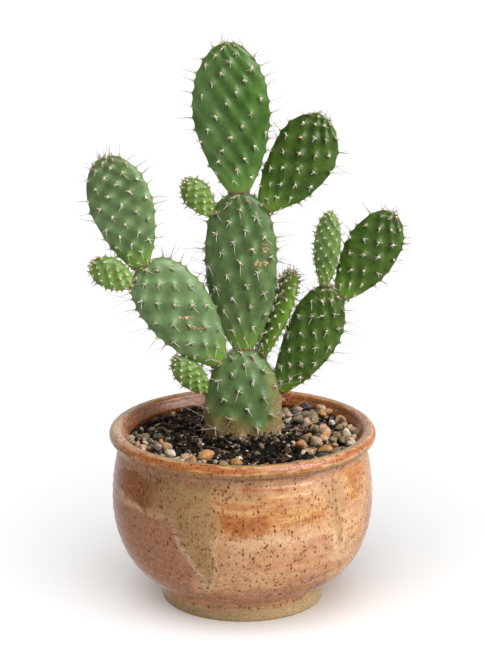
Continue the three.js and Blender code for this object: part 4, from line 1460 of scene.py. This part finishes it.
def make_spines(pad, areoles, material, rng):
    on_face, on_edge = face_spines(pad, areoles, rng), edge_spines(pad, areoles, rng)
    pick, direction, length = (np.concatenate(pair) for pair in zip(on_face, on_edge))
    # Painted shade: the edge spines are darkened for the shade they stand in against the white floor, less
    # on the base pad.
    dark = rng.uniform(0.7, 1.0, len(on_edge[0])) * (1.0 if pad.parent else 0.35)
    shade = np.concatenate([np.zeros(len(on_face[0])), dark])
    root = areoles.root[pick]
    length = within_reach(root, direction, length)
    radii = np.clip(0.17 - 0.005 * length, *SPINES["radius"]) * (0.7 + 0.3 * pad.growth)
    bends = rng.normal(0, SPINES["curl"], (len(pick), 3)) * length[:, None]
    start = root + 0.25 * rng.normal(0, 1, (len(pick), 3)) * pad.growth
    points, faces, along = needles(start, direction, length, radii, bends, 4, (0.0, 0.65))
    values = {"along": along, "shade": np.repeat(shade, len(along) // len(pick))}
    make_piece(f"{pad.name}_spines", points, faces, material, values=values)


def make_scabs(pads, material):
    """Crusty lumps on the scars."""
    rng = np.random.default_rng(77)
    centres = []
    for name, along, across, wide, tall, slope in SCARS:
        first, second = rng.normal(0, 0.6, (2, SCABS["each"])) * np.array([[wide], [tall]])
        side, up = turned(first, second, slope)
        points = pads[name].raised(*pads[name].front_place(across + side, along + up))[0]
        centres.append(pads[name].to_row(points))
    centres = np.concatenate(centres)
    size = rng.uniform(*SCABS["radius"], len(centres))
    axes = random_axes(rng, 2 * size, (0.7, 1.0))
    make_lumps("scabs", material, centres, axes, rng.uniform(0, 1, len(size)), (1, 0.6, 0.0, 61))


def make_joint(pad, material):
    """The corky ring where a pad has grown from its parent."""
    turns, sides, radius = 40, 8, 0.55
    angle = around(turns)
    s = np.full(turns, (JOINT_DEPTH + 0.1) / pad.length)
    middle, normal = pad.skin(s, angle), pad.normal(s, angle)
    turn = around(sides)[:, None, None]
    points = middle + radius * (normal * np.cos(turn) + np.array((0.0, 0.0, 1.0)) * np.sin(turn))
    points = points + (points - middle) * (1.3 * field(points, 0.4, 13))[..., None]
    faces = grid_faces(sides, turns, ring=True)
    make_piece(f"{pad.name}_joint", pad.to_row(points.reshape(-1, 3)), faces, material)


def make_plant():
    fleshes = {kind: flesh_material(f"{kind}_flesh", *colours) for kind, colours in PAD_COLOURS.items()}
    old_wool = wool_material("old_wool", (0.34, 0.20, 0.13), (0.90, 0.78, 0.64))
    young_wool = wool_material("young_wool", (0.50, 0.34, 0.16), (0.96, 0.89, 0.66))
    spine, glochid, cork = spine_material(), glochid_material(), cork_material()
    pads = {}
    for order, pad in enumerate(PADS):
        pad.settle(pads)
        pads[pad.name] = pad
        rng = np.random.default_rng(100 + order)
        make_flesh(pad, fleshes[pad.flesh])
        areoles = areoles_of(pad)
        make_wool(pad, areoles, old_wool if pad.age > 0.5 else young_wool, rng)
        make_glochids(pad, areoles, glochid, rng)
        make_spines(pad, areoles, spine, rng)
        if pad.parent:
            make_joint(pad, cork)
    make_scabs(pads, wool_material("scab", (0.36, 0.20, 0.09), (0.90, 0.70, 0.46)))


# ---- The scene ----


def make_floor():
    mesh = bpy.data.meshes.new("floor")
    turn = around(FLOOR_SIDES)
    points = np.stack([np.cos(turn), np.sin(turn), np.zeros_like(turn)], 1) * FLOOR_RADIUS * MM
    mesh.from_pydata(points.tolist(), [], [tuple(range(FLOOR_SIDES))])
    mesh.materials.append(floor_material())
    floor = placed("floor", mesh)
    floor.visible_glossy = False
    return floor


add_camera()
add_lights(make_floor())
add_world()
make_pot(glaze_material())
soil = soil_material()
make_soil(soil)
make_crumbs(soil)
stone = stone_material()
make_gravel(stone)
make_single_stones(stone)
make_perlite(perlite_material())
make_plant()
